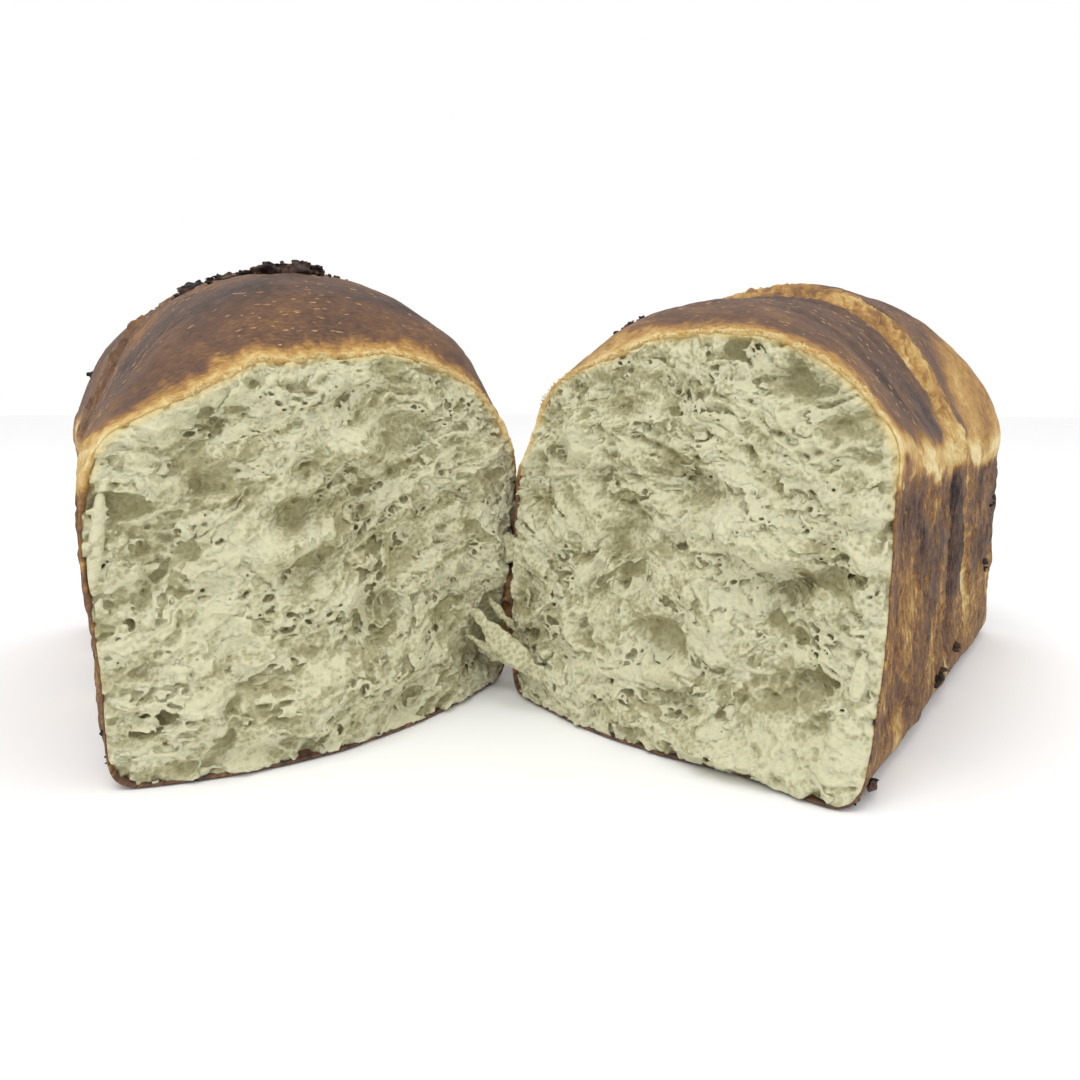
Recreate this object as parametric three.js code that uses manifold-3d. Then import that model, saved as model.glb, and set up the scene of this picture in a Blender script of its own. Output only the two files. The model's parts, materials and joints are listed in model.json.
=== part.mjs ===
// A loaf of white bread baked in an open tin, then torn open by hand at the middle.
// The two halves still hang together at one side, by crust and strands of crumb, so the loaf is one solid.
// Units are millimetres, +Z is up and the flat bottom crust lies on z = 0.
//
// Each half has its own frame: u runs across the loaf from the hinge side, v runs along the loaf from the
// tear to the closed end, and z is the height. A half is one closed skin: a square grid of points over the
// torn face, rings of points along the crust, and a fan over the end wall.
import * as THREE from "three";
import { mergeVertices } from "three/addons/utils/BufferGeometryUtils.js";
import Module from "manifold-3d";

// Driving sizes of the tin and of the loaf that rose out of it
const TIN_BOTTOM_WIDTH = 105;
const TIN_TOP_WIDTH = 112;
const TIN_HEIGHT = 66;
const HALF_LENGTH = 155;
const SEAM_AT = 74; // where the first dough ball meets the second, measured from the tear
const SEAM_DEPTH = 3.4;
const SEAM_WIDTH = 3.2;
const CORE_HEIGHT = 50; // height of the point that each cross-section is drawn around
const CREST_HEIGHT = 129; // top of the second dough ball
const RISE_LENGTH = 16; // how soon the crust behind the tear stands at its full height
const DOME_HALF_WIDTH = 58.5;
const DOME_POWER = 2.35; // 2 would be an ellipse, more is squarer
const CORNER_SHARPNESS = 18; // of the crust's bottom corners
const OVERHANG = 2.2; // dough that swelled out over the tin's rim
const OVERHANG_HEIGHT = 76;
const END_FALL = 42; // length over which the dome comes down to the end wall
const END_ROUNDING = 6;
const END_LEAN = 5; // the end wall leans out towards its top, as the tin's does
const FLAT_DEPTH = 0.5; // the section reaches this far under the table, where it is cut off flat

// The torn edge: the crust is broken off a little in front of the crumb
const CRUST_THICKNESS = 1.6;
const EDGE_STEP = 0.6;
const EDGE_RAGGEDNESS = 0.9;

// The torn face of crumb leans back towards its top and swells forward at its middle and at its foot
const TEAR_LEAN = 0.09;
const TEAR_SWELL = 5;
const TEAR_SWELL_HEIGHT = 55;
const SHRED_DEPTH = [1.8, 1.2];
const SHRED_SIZE = [8, 4.2];

// The layout of the two halves on the table, angles in degrees. The tear runs askew across the loaf by skew.
// bow is how far the crumb bulges forward at the foot, and bowShape above 1 moves that bulge outwards.
// lostCorner is torn away at the foot of the hinge, slump widens that side, and toe stands out at the other foot.
// sway is how far the crown leans across the loaf, at the tear and behind it.
const HINGE = new THREE.Vector2(2.8, -20.27); // where the left half's inner corner stands
const LEFT = {
  side: -1,
  turn: 38.5,
  skew: -2.9,
  offset: [0, 0],
  tornTop: 91,
  crest: 131,
  bow: 15,
  bowShape: 1.15,
  lostCorner: 4,
  toe: 0,
  slump: 0,
  sway: [0, -6],
  ridge: 3.5,
};
const RIGHT = {
  side: 1,
  turn: 33.5,
  skew: 1.6,
  offset: [-0.4, -11.3],
  tornTop: 92,
  crest: 121,
  bow: 11,
  bowShape: 0.95,
  lostCorner: 0,
  toe: 9,
  slump: 5,
  sway: [3, -6],
  ridge: 0,
};

// Large holes and crags of the torn crumb. u and z are the middle, wide and tall the half sizes,
// tilt is in degrees, and depth goes into the loaf: negative for a crag that stands out.
LEFT.crags = [
  { u: 36, z: 78, wide: 9, tall: 6, tilt: -5, depth: 7 },
  { u: 98, z: 50, wide: 4, tall: 8, tilt: 5, depth: 5 },
  { u: 67, z: 58, wide: 8, tall: 4, tilt: -15, depth: 5 },
  { u: 47, z: 30, wide: 10, tall: 6, tilt: -10, depth: 5 },
  { u: 64, z: 45, wide: 9, tall: 4, tilt: -35, depth: 4 },
  { u: 86, z: 68, wide: 8, tall: 4, tilt: -30, depth: 4 },
  { u: 75, z: 3, wide: 14, tall: 3, tilt: 5, depth: 4 },
  { u: 40, z: 8, wide: 7, tall: 4, tilt: -35, depth: 4 },
  { u: 13, z: 14, wide: 8, tall: 9, tilt: 20, depth: 7 },
  { u: 90, z: 80, wide: 10, tall: 5, tilt: -30, depth: 4 },
  { u: 17, z: 78, wide: 7, tall: 10, tilt: 30, depth: 3 },
  { u: 66, z: 50, wide: 10, tall: 3, tilt: -12, depth: -5 },
  { u: 51, z: 74, wide: 9, tall: 4, tilt: -18, depth: -4 },
  { u: 12, z: 40, wide: 5, tall: 13, tilt: -10, depth: -4 },
  { u: 92, z: 20, wide: 7, tall: 12, tilt: -20, depth: -4 },
  { u: 60, z: 16, wide: 22, tall: 6, tilt: 0, depth: -4 },
];
RIGHT.crags = [
  { u: 86, z: 92, wide: 9, tall: 4, tilt: -8, depth: 5 },
  { u: 43, z: 47, wide: 5, tall: 10, tilt: 15, depth: 7 },
  { u: 87, z: 43, wide: 6, tall: 5, tilt: 15, depth: 6 },
  { u: 62, z: 65, wide: 9, tall: 5, tilt: -10, depth: 5 },
  { u: 56, z: 26, wide: 8, tall: 5, tilt: 10, depth: 5 },
  { u: 61, z: 11, wide: 8, tall: 5, tilt: -15, depth: 6 },
  { u: 90, z: 20, wide: 9, tall: 4, tilt: 20, depth: 4 },
  { u: 36, z: 88, wide: 9, tall: 5, tilt: -25, depth: 4 },
  { u: 12, z: 62, wide: 7, tall: 9, tilt: 0, depth: 4 },
  { u: 94, z: 84, wide: 7, tall: 5, tilt: -30, depth: 4 },
  { u: 34, z: 37, wide: 4, tall: 6, tilt: 5, depth: 4 },
  { u: 81, z: 54, wide: 14, tall: 7, tilt: -25, depth: -6 },
  { u: 76, z: 66, wide: 9, tall: 4, tilt: -5, depth: -4 },
  { u: 105, z: 56, wide: 5, tall: 15, tilt: -5, depth: -4 },
  { u: 70, z: 5, wide: 16, tall: 6, tilt: -10, depth: -5 },
  { u: 26, z: 82, wide: 7, tall: 10, tilt: -20, depth: -3 },
];

// Charred drops of dough on the crust: angle round the section in degrees, v along the loaf, half sizes
LEFT.lumps = [
  { angle: 88, v: 52, size: [9, 6, 3.5] },
  { angle: 66, v: 50, size: [5, 5, 3] },
  { angle: 48, v: 42, size: [3, 4, 3] },
  { angle: -43, v: 0, size: [3, 3, 3] },
];
RIGHT.lumps = [
  { angle: -46, v: -5, size: [7, 4, 3] },
  { angle: -52, v: -6, size: [4, 3, 2.5] },
  { angle: -40, v: 62, size: [3, 4, 2.5] },
  { angle: -36, v: 84, size: [2.6, 4, 3] },
];

// Where the dome rose more than its rule says, or less: angle round the section in degrees, v along the loaf,
// how many millimetres it stands out, and how far that reaches in degrees and in millimetres
LEFT.swells = [
  { angle: 48, v: 95, lift: 5, round: 20, along: 45 },
  { angle: 112, v: 35, lift: -2.2, round: 18, along: 20 },
];
RIGHT.swells = [
  { angle: 140, v: 10, lift: 4.5, round: 12, along: 14 },
  { angle: 156, v: 2, lift: -2.5, round: 7, along: 10 },
  { angle: 90, v: 92, lift: 2.6, round: 22, along: 20 },
  { angle: 38, v: 134, lift: 3, round: 14, along: 20 },
];

// How finely the skin is divided: cells along the torn face, and places along the crust as shares of its length
const FACE_CELLS = 30;
const CRUST_STATIONS = [0, 0.03, 0.08, 0.15, 0.23, 0.31, 0.39, 0.445, 0.48];
CRUST_STATIONS.push(0.52, 0.59, 0.67, 0.75, 0.83, 0.9, 0.95, 0.985, 1);
const END_RINGS = [0.66, 0.33];

const CENTRE_U = TIN_TOP_WIDTH / 2;
const DEGREE = Math.PI / 180;

const mix = (a, b, t) => a + (b - a) * t;
const clamp = (x, low, high) => Math.min(high, Math.max(low, x));
const bump = (x, width) => Math.exp(-((x / width) ** 2));
const smooth = (x) => {
  const t = clamp(x, 0, 1);
  return t * t * (3 - 2 * t);
};

// Repeatable noise: a random value on each corner of a lattice, blended smoothly in between
function latticeValue(i, j, seed) {
  const wave = Math.sin(i * 127.1 + j * 311.7 + seed * 53.3) * 43758.5453;
  return wave - Math.floor(wave);
}

function noise(x, y, seed) {
  const [i, j] = [Math.floor(x), Math.floor(y)];
  const [a, b] = [smooth(x - i), smooth(y - j)];
  const row = (jj) => mix(latticeValue(i, jj, seed), latticeValue(i + 1, jj, seed), a);
  return 2 * mix(row(j), row(j + 1), b) - 1;
}

// Height of the crown over the loaf's middle line
function crownHeight(half, v) {
  const risen = mix(half.tornTop, half.crest, 1 - Math.exp(-Math.max(v, 0) / RISE_LENGTH));
  const crest = mix(risen, CREST_HEIGHT, smooth((v - SEAM_AT + 20) / 50));
  const fall = clamp((v - (HALF_LENGTH - END_FALL)) / END_FALL, 0, 1);
  return mix(TIN_HEIGHT, crest, Math.sqrt(1 - fall * fall));
}

// How far the crust stands out of the rule there
function swelling(half, angle, v) {
  let lifted = 0;
  for (const swell of half.swells)
    lifted += swell.lift * bump(angle / DEGREE - swell.angle, swell.round) * bump(v - swell.v, swell.along);
  return lifted;
}

// Distance from the section's core to the crust, in the direction of angle, at v along the loaf
function crustRadius(half, angle, v) {
  const across = Math.abs(Math.cos(angle));
  const up = Math.sin(angle);
  const intoEnd = clamp((v - HALF_LENGTH) / END_ROUNDING + 1, 0, 1);
  const endInset = END_ROUNDING * (1 - Math.sqrt(1 - intoEnd ** 2));

  // Walls, floor and dome are each one over the distance to them, and the nearest one wins, corners rounded
  const flare = (TIN_TOP_WIDTH - TIN_BOTTOM_WIDTH) / 2 / TIN_HEIGHT;
  const wall = (across - flare * up) / (TIN_BOTTOM_WIDTH / 2 + flare * CORE_HEIGHT - endInset);
  const floor = Math.max(0, -up) / (CORE_HEIGHT + FLAT_DEPTH - endInset);
  const swell = DOME_HALF_WIDTH + 1.5 * bump(v - 112, 26) - endInset;
  const rise = crownHeight(half, v) - CORE_HEIGHT;
  const dome = ((across / swell) ** DOME_POWER + (Math.max(0, up) / rise) ** DOME_POWER) ** (1 / DOME_POWER);
  const p = CORNER_SHARPNESS;
  const radius = (Math.max(wall, 0) ** p + floor ** p + dome ** p) ** (-1 / p);

  const height = CORE_HEIGHT + radius * up;
  const rim = OVERHANG * bump(height - OVERHANG_HEIGHT, 9) * across ** 2;
  const crease = SEAM_DEPTH * bump(v - SEAM_AT, SEAM_WIDTH) * smooth((height - 6) / 12) * mix(0.5, 1, across);
  return radius + rim - crease + swelling(half, angle, v);
}

// How far the section is pushed across the loaf: the crown's sway, and the slumped side at the hinge
function sideShift(half, angle, v, z) {
  const sway = mix(half.sway[0], half.sway[1], smooth(v / 35)) * (1 - smooth((v - 100) / 40));
  const nearHinge = Math.max(0, -Math.cos(angle)) * clamp(1 - z / TIN_HEIGHT, 0, 1);
  return sway * smooth((z - 60) / 45) - half.slump * nearHinge * Math.exp(-Math.max(v, 0) / 30);
}

// A point of the crust in the half's own frame
function crustPoint(half, angle, v) {
  const radius = crustRadius(half, angle, v);
  const z = Math.max(0, CORE_HEIGHT + radius * Math.sin(angle));
  const lean = END_LEAN * smooth((v - 90) / 50) * clamp(1 - z / TIN_HEIGHT, 0, 1);
  return [CENTRE_U + radius * Math.cos(angle) + sideShift(half, angle, v, z), v - lean, z];
}

// The burnt, blistered ridge at the back of the first dough ball's dark cap
function burntRidge(half, angle, v) {
  const blisters = 0.6 + 0.4 * noise(angle * 9, v / 6, 4);
  return half.ridge * blisters * bump(angle / DEGREE - 75, 24) * bump(v - (SEAM_AT - 14), 6);
}

// How far behind the hinge's line the torn surface lies
function tearDepth(half, u, z) {
  const share = clamp(u / TIN_TOP_WIDTH, 0, 1);
  const askew = u * Math.tan(half.skew * DEGREE);
  const bow = half.bow * Math.sin(Math.PI * share ** half.bowShape) * (1 - smooth(z / 60));
  const swell = TEAR_SWELL * 4 * share * (1 - share) * bump(z - TEAR_SWELL_HEIGHT, 40);
  const lean = TEAR_LEAN * z * Math.max(smooth(u / 35), smooth((z - TIN_HEIGHT) / 20));
  const lostCorner = half.lostCorner * bump(Math.hypot(u, z), 20);
  const toe = half.toe * bump(Math.hypot(u - TIN_BOTTOM_WIDTH, z), 18);
  return askew + lean + lostCorner - bow - swell - toe;
}

// Where along the loaf the tear comes out at the crust, found by stepping towards it
function tearEdge(half, angle) {
  let v = 0;
  for (let pass = 0; pass < 6; pass++) {
    const [u, , z] = crustPoint(half, angle, v);
    v = mix(v, tearDepth(half, u, z) + EDGE_RAGGEDNESS * noise(angle * 6, 0, 3), 0.7);
  }
  return v;
}

// Holes, crags and shreds of the torn crumb, fading out towards the crust
function tornRelief(half, u, z, inside) {
  const seed = half.side;
  let depth = SHRED_DEPTH[0] * noise(u / SHRED_SIZE[0], z / SHRED_SIZE[0], seed);
  depth += SHRED_DEPTH[1] * noise(u / SHRED_SIZE[1], z / SHRED_SIZE[1], seed + 7);
  for (const crag of half.crags) {
    const [du, dz] = [u - crag.u, z - crag.z];
    const [c, s] = [Math.cos(crag.tilt * DEGREE), Math.sin(crag.tilt * DEGREE)];
    const reach = ((du * c + dz * s) / crag.wide) ** 2 + ((dz * c - du * s) / crag.tall) ** 2;
    depth += crag.depth * Math.exp(-(reach ** 1.3));
  }
  return depth * smooth(inside / 0.12);
}

// A place on the edge of the square from -1 to 1, share of the way round from its lower right corner
function edgeOfSquare(share) {
  const walked = 8 * share;
  if (walked < 2) return [1, walked - 1];
  if (walked < 4) return [3 - walked, 1];
  if (walked < 6) return [-1, 5 - walked];
  return [walked - 7, -1];
}

// The direction in which that place of the square is drawn on the section. The square's corners go to the
// section's own corners: the two at the bottom, and the two shoulders of the dome.
function squareAngle(a, b) {
  const corner = Math.atan2(CORE_HEIGHT, TIN_BOTTOM_WIDTH / 2);
  const shoulder = 42 * DEGREE;
  if (a >= 1) return mix(-corner, shoulder, (b + 1) / 2);
  if (b >= 1) return mix(shoulder, Math.PI - shoulder, (1 - a) / 2);
  if (a <= -1) return mix(Math.PI - shoulder, Math.PI + corner, (1 - b) / 2);
  return mix(Math.PI + corner, 2 * Math.PI - corner, (a + 1) / 2);
}

// A point of the torn face, for a place in the square from -1 to 1
function tornPoint(half, a, b) {
  const size = Math.max(Math.abs(a), Math.abs(b));
  const angle = size ? squareAngle(a / size, b / size) : 0;
  const edgeAt = tearEdge(half, angle);
  const reach = size * (crustRadius(half, angle, edgeAt) - CRUST_THICKNESS);
  const z = Math.max(CRUST_THICKNESS / 2, CORE_HEIGHT + reach * Math.sin(angle));
  const u = CENTRE_U + reach * Math.cos(angle) + size * sideShift(half, angle, edgeAt, z);
  const surface = mix(tearDepth(half, u, z), edgeAt + EDGE_STEP, smooth((size - 0.8) / 0.2));
  return [u, surface + tornRelief(half, u, z, 1 - size), z];
}

// A point of the end wall, for a share of the way from the middle to the crust
function endWallPoint(half, angle, share) {
  const reach = share * (crustRadius(half, angle, HALF_LENGTH) - 1);
  const z = CORE_HEIGHT + reach * Math.sin(angle);
  const lean = END_LEAN * clamp(1 - z / TIN_HEIGHT, 0, 1);
  return [CENTRE_U + reach * Math.cos(angle), HALF_LENGTH - lean + 0.8 * (1 - share), z];
}

// One half as a closed mesh in its own frame
function halfMesh(half) {
  const points = [];
  const triangles = [];
  const add = (point) => points.push(point) - 1;
  const quad = (a, b, c, d) => triangles.push([a, b, c], [a, c, d]);

  const n = FACE_CELLS;
  const face = [];
  for (let j = 0; j <= n; j++)
    for (let i = 0; i <= n; i++) face.push(add(tornPoint(half, (2 * i) / n - 1, (2 * j) / n - 1)));
  const at = (i, j) => face[j * (n + 1) + i];
  for (let j = 0; j < n; j++)
    for (let i = 0; i < n; i++) quad(at(i, j), at(i + 1, j), at(i + 1, j + 1), at(i, j + 1));

  // The edge of that grid, counted the way the angle grows, starting at the lower right corner
  const edge = [];
  for (let k = 0; k < n; k++) edge.push(at(n, k));
  for (let k = 0; k < n; k++) edge.push(at(n - k, n));
  for (let k = 0; k < n; k++) edge.push(at(0, n - k));
  for (let k = 0; k < n; k++) edge.push(at(k, 0));

  // Rings along the crust, with one point for every two along the torn face's edge
  const around = edge.length / 2;
  const next = (k) => (k + 1) % around;
  const angles = Array.from({ length: around }, (_, k) => squareAngle(...edgeOfSquare(k / around)));
  const rings = CRUST_STATIONS.map((share) =>
    angles.map((angle) => {
      const v = mix(tearEdge(half, angle), HALF_LENGTH, share);
      const [u, along, z] = crustPoint(half, angle, v);
      const lift = burntRidge(half, angle, v);
      return add([u + lift * Math.cos(angle), along, z + lift * Math.sin(angle)]);
    }),
  );
  for (let k = 0; k < around; k++) {
    const [a, b, c] = [edge[2 * k], edge[2 * k + 1], edge[(2 * k + 2) % edge.length]];
    const [here, there] = [rings[0][k], rings[0][next(k)]];
    triangles.push([a, here, b], [here, there, b], [b, there, c]);
  }
  for (const share of END_RINGS) rings.push(angles.map((angle) => add(endWallPoint(half, angle, share))));
  for (let r = 0; r + 1 < rings.length; r++)
    for (let k = 0; k < around; k++)
      quad(rings[r][k], rings[r + 1][k], rings[r + 1][next(k)], rings[r][next(k)]);
  const pole = add(endWallPoint(half, 0, 0));
  const last = rings.at(-1);
  for (let k = 0; k < around; k++) triangles.push([last[k], pole, last[next(k)]]);
  return { points, triangles };
}

// From a half's own frame to the loaf's
function placed(half, [u, v, z]) {
  const [c, s] = [Math.cos(half.turn * DEGREE), Math.sin(half.turn * DEGREE)];
  const x = HINGE.x + half.offset[0] + half.side * (u * c + v * s);
  const y = HINGE.y + half.offset[1] - u * s + v * c;
  return [x, y, z];
}

const wasm = await Module();
wasm.setup();

// A closed mesh as a solid, turned right side out if its triangles run the wrong way
function solidFrom(points, triangles) {
  const geometry = new THREE.BufferGeometry();
  geometry.setAttribute("position", new THREE.BufferAttribute(new Float32Array(points.flat()), 3));
  geometry.setIndex(triangles.flat());
  const merged = mergeVertices(geometry, 1e-3);
  const vertProperties = merged.getAttribute("position").array;
  const build = (triVerts) => new wasm.Manifold(new wasm.Mesh({ numProp: 3, vertProperties, triVerts }));
  const corners = new Uint32Array(merged.index.array);
  const solid = build(corners);
  return solid.volume() < 0 ? build(corners.toReversed()) : solid;
}

function halfSolid(half) {
  const { points, triangles } = halfMesh(half);
  return solidFrom(
    points.map((point) => placed(half, point)),
    triangles,
  );
}

// A strand of crumb along a curve: flat, uneven, and running out to a point at both ends
function strandSolid(middlePoints, wide, thick, flatSide, seed) {
  const [steps, sides] = [14, 8];
  const curve = new THREE.CatmullRomCurve3(middlePoints);
  const points = [curve.getPoint(0).toArray()];
  const triangles = [];
  for (let i = 1; i < steps; i++) {
    const t = i / steps;
    const along = curve.getTangent(t);
    const across = new THREE.Vector3().crossVectors(along, flatSide).normalize();
    const out = new THREE.Vector3().crossVectors(across, along).normalize();
    const girth = Math.sqrt(Math.sin(Math.PI * t)) * (1 + 0.3 * noise(t * 6, 0, seed));
    for (let k = 0; k < sides; k++) {
      const angle = (2 * Math.PI * k) / sides;
      const point = curve.getPoint(t);
      point.addScaledVector(across, wide * girth * Math.cos(angle));
      point.addScaledVector(out, thick * girth * Math.sin(angle));
      points.push(point.toArray());
    }
  }
  const tip = points.push(curve.getPoint(1).toArray()) - 1;
  const at = (ring, k) => 1 + ring * sides + (k % sides);
  for (let k = 0; k < sides; k++) {
    triangles.push([0, at(0, k + 1), at(0, k)]);
    for (let r = 0; r + 2 < steps; r++)
      triangles.push([at(r, k), at(r, k + 1), at(r + 1, k + 1)], [at(r, k), at(r + 1, k + 1), at(r + 1, k)]);
    triangles.push([tip, at(steps - 2, k), at(steps - 2, k + 1)]);
  }
  return solidFrom(points, triangles);
}

// The middle of the hinge, between the inner corners of the two halves
const HINGE_MIDDLE = HINGE.clone().add(new THREE.Vector2(...RIGHT.offset).divideScalar(2));

// A strand of crumb from a place on the left torn face to one on the right, by way of a point at the hinge
function hingeStrand(leftUVZ, [x, y, z], rightUVZ, wide, thick, seed) {
  const start = new THREE.Vector3(...placed(LEFT, leftUVZ));
  const middle = new THREE.Vector3(HINGE_MIDDLE.x + x, HINGE_MIDDLE.y + y, z);
  const end = new THREE.Vector3(...placed(RIGHT, rightUVZ));
  return strandSolid([start, middle, end], wide, thick, new THREE.Vector3(0, -1, 0.2), seed);
}

// The folded strip of side crust that still joins the halves, from the foot of the hinge to above the tin's rim
function foldedCrust() {
  const route = [
    [-1, 4, 12],
    [0.5, 2, 40],
    [1.5, 4, TIN_HEIGHT + 6],
  ].map(([x, y, z]) => new THREE.Vector3(HINGE_MIDDLE.x + x, HINGE_MIDDLE.y + y, z));
  return strandSolid(route, 10, 5, new THREE.Vector3(1, 0, 0), 4);
}

// A charred drop of dough, half sunk in the crust
function charredLump(half, { angle, v, size }) {
  const centre = placed(half, crustPoint(half, angle * DEGREE, v));
  const lump = new THREE.IcosahedronGeometry(1, 1).scale(...size).translate(...centre);
  const position = lump.getAttribute("position");
  const corner = (_, i) => new THREE.Vector3().fromBufferAttribute(position, i);
  const points = Array.from({ length: position.count }, corner);
  const resting = points.map(({ x, y, z }) => [x, y, Math.max(0, z)]);
  const triangles = Array.from({ length: points.length / 3 }, (_, t) => [3 * t, 3 * t + 1, 3 * t + 2]);
  return solidFrom(resting, triangles);
}

const pieces = [
  halfSolid(LEFT),
  halfSolid(RIGHT),
  foldedCrust(),
  hingeStrand([18, 0, 34], [-1, -9, 24], [16, 2, 12], 8, 3, 2),
  hingeStrand([20, -3, 27], [2, -14, 15], [20, -4, 9], 5, 2, 3),
  hingeStrand([12, 1, 46], [1, -5, 42], [14, 3, 40], 7, 3, 1),
  ...[LEFT, RIGHT].flatMap((half) => half.lumps.map((lump) => charredLump(half, lump))),
];
const { vertProperties, triVerts } = pieces.reduce((whole, piece) => whole.add(piece)).getMesh();
const skin = new THREE.BufferGeometry();
skin.setAttribute("position", new THREE.BufferAttribute(new Float32Array(vertProperties), 3));
skin.setIndex(new THREE.BufferAttribute(new Uint32Array(triVerts), 1));
skin.computeVertexNormals();

const bakedCrust = new THREE.MeshStandardMaterial({ color: 0x8a5a32, roughness: 0.6, metalness: 0 });
const loaf = new THREE.Mesh(skin, bakedCrust);
loaf.name = "loaf";

const model = new THREE.Group();
model.add(loaf);
export default model;
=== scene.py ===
# %% [markdown]
# # A tin loaf, torn open by hand
# The object is a loaf of white bread that was baked in an open tin and then pulled apart at its middle.
# The two halves still hang together at one side. The solid model gives the sizes and the places; this
# script builds the looks over it: a baked crust, the torn crumb, shreds, blisters and burnt bits.

# %% Load the frame and the tools
import json
import math
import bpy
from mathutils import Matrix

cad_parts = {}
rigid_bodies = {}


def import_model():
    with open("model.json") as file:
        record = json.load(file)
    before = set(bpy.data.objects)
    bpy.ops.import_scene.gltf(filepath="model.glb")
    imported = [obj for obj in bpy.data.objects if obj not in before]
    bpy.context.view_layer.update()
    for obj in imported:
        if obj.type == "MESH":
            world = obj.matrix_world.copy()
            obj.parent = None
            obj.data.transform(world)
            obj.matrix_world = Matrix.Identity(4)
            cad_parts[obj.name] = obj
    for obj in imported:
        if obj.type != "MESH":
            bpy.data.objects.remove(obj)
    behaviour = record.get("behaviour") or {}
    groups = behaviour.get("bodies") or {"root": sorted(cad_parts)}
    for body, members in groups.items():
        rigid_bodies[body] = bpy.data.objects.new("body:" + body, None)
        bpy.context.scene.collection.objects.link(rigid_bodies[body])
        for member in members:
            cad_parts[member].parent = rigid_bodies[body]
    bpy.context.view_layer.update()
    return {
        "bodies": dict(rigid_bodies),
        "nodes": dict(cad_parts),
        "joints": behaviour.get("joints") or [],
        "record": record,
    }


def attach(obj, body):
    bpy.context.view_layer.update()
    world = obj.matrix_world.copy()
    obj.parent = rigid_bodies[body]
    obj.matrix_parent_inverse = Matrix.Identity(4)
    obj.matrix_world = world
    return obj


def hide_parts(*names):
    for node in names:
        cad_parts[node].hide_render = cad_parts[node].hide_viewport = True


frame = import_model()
from types import SimpleNamespace
import bpy
import numpy as np
import openvdb
from mathutils import Vector

# %% [markdown]
# ## The loaf's own numbers
# Everything is worked out in millimetres. Each half has a frame of its own: u runs across the loaf from
# the hinge side, v runs along the loaf from the tear to the closed end, and z is the height. These are
# the same values that shape the solid, so the looks sit exactly where the solid is.

# %% Sizes of the tin and of the dough that rose out of it
TIN_BOTTOM_WIDTH, TIN_TOP_WIDTH, TIN_HEIGHT = 105, 112, 66
HALF_LENGTH = 155
SEAM_AT, SEAM_DEPTH, SEAM_WIDTH = 74, 3.4, 3.2
CREASE_FOOT, CREASE_GROWTH = 6, 12
CORE_HEIGHT, CREST_HEIGHT, RISE_LENGTH = 50, 129, 16
CREST_FALL_AHEAD, CREST_FALL_LENGTH = 20, 50
DOME_HALF_WIDTH, DOME_POWER, CORNER_SHARPNESS = 58.5, 2.35, 18
SECOND_SWELL, SECOND_SWELL_AT, SECOND_SWELL_LENGTH = 1.5, 112, 26
OVERHANG, OVERHANG_HEIGHT, OVERHANG_BAND = 2.2, 76, 9
END_FALL, END_ROUNDING, END_LEAN = 42, 6, 5
FLAT_DEPTH = 0.5
SWAY_GROWS, SWAY_HOLDS, SWAY_FADES = 35, 100, 40
SWAY_FOOT, SWAY_HEIGHT, SLUMP_LENGTH = 60, 45, 30
CENTRE_U = TIN_TOP_WIDTH / 2
HINGE = (2.8, -20.27)
TEAR_LEAN, TEAR_SWELL, TEAR_SWELL_HEIGHT, TEAR_SWELL_BAND = 0.09, 5, 55, 40
BOW_HEIGHT, LOST_CORNER_REACH, TOE_REACH = 60, 20, 18
EDGE_RAGGEDNESS, EDGE_WAVES = 0.4, 6
CRUST_THICKNESS = 1.1
CROWN_LINE, WALL_LINE = 74, 62  # heights where the dome begins and where the straight wall ends
BOTTOM_ANGLE, TURN = -math.pi / 2, 2 * math.pi

LEFT = SimpleNamespace(
    name="left", side=-1, turn=38.5, skew=-2.9, offset=(0, 0), torn_top=91, crest=131, bow=15,
    bow_shape=1.15, lost_corner=4, toe=0, slump=0, sway=(0, -6), ridge=3.5, seed=11)
RIGHT = SimpleNamespace(
    name="right", side=1, turn=33.5, skew=1.6, offset=(-0.4, -11.3), torn_top=92, crest=121, bow=11,
    bow_shape=0.95, lost_corner=0, toe=9, slump=5, sway=(3, -6), ridge=0, seed=23)

# Large holes and crags of the torn crumb: middle u and z, half sizes wide and tall, tilt in degrees, and
# depth into the loaf, which is negative for a crag that stands out.
LEFT.crags = [
    (36, 78, 9, 6, -5, 7), (98, 50, 4, 8, 5, 5), (67, 58, 8, 4, -15, 5), (47, 30, 10, 6, -10, 5),
    (64, 45, 9, 4, -35, 4), (86, 68, 8, 4, -30, 4), (75, 3, 14, 3, 5, 4), (40, 8, 7, 4, -35, 4),
    (13, 14, 8, 9, 20, 7), (90, 80, 10, 5, -30, 4), (17, 78, 7, 10, 30, 3), (66, 50, 10, 3, -12, -5),
    (51, 74, 9, 4, -18, -4), (12, 40, 5, 13, -10, -4), (92, 20, 7, 12, -20, -4), (60, 16, 22, 6, 0, -4)]
RIGHT.crags = [
    (86, 92, 9, 4, -8, 5), (43, 47, 5, 10, 15, 7), (87, 43, 6, 5, 15, 6), (62, 65, 9, 5, -10, 5),
    (56, 26, 8, 5, 10, 5), (61, 11, 8, 5, -15, 6), (90, 20, 9, 4, 20, 4), (36, 88, 9, 5, -25, 4),
    (12, 62, 7, 9, 0, 4), (94, 84, 7, 5, -30, 4), (34, 37, 4, 6, 5, 4), (81, 54, 14, 7, -25, -6),
    (76, 66, 9, 4, -5, -4), (105, 56, 5, 15, -5, -4), (70, 5, 16, 6, -10, -5), (26, 82, 7, 10, -20, -3)]

# The height where the stretched shoulder's colour begins
LEFT.shelf, RIGHT.shelf = 64, 66

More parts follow.
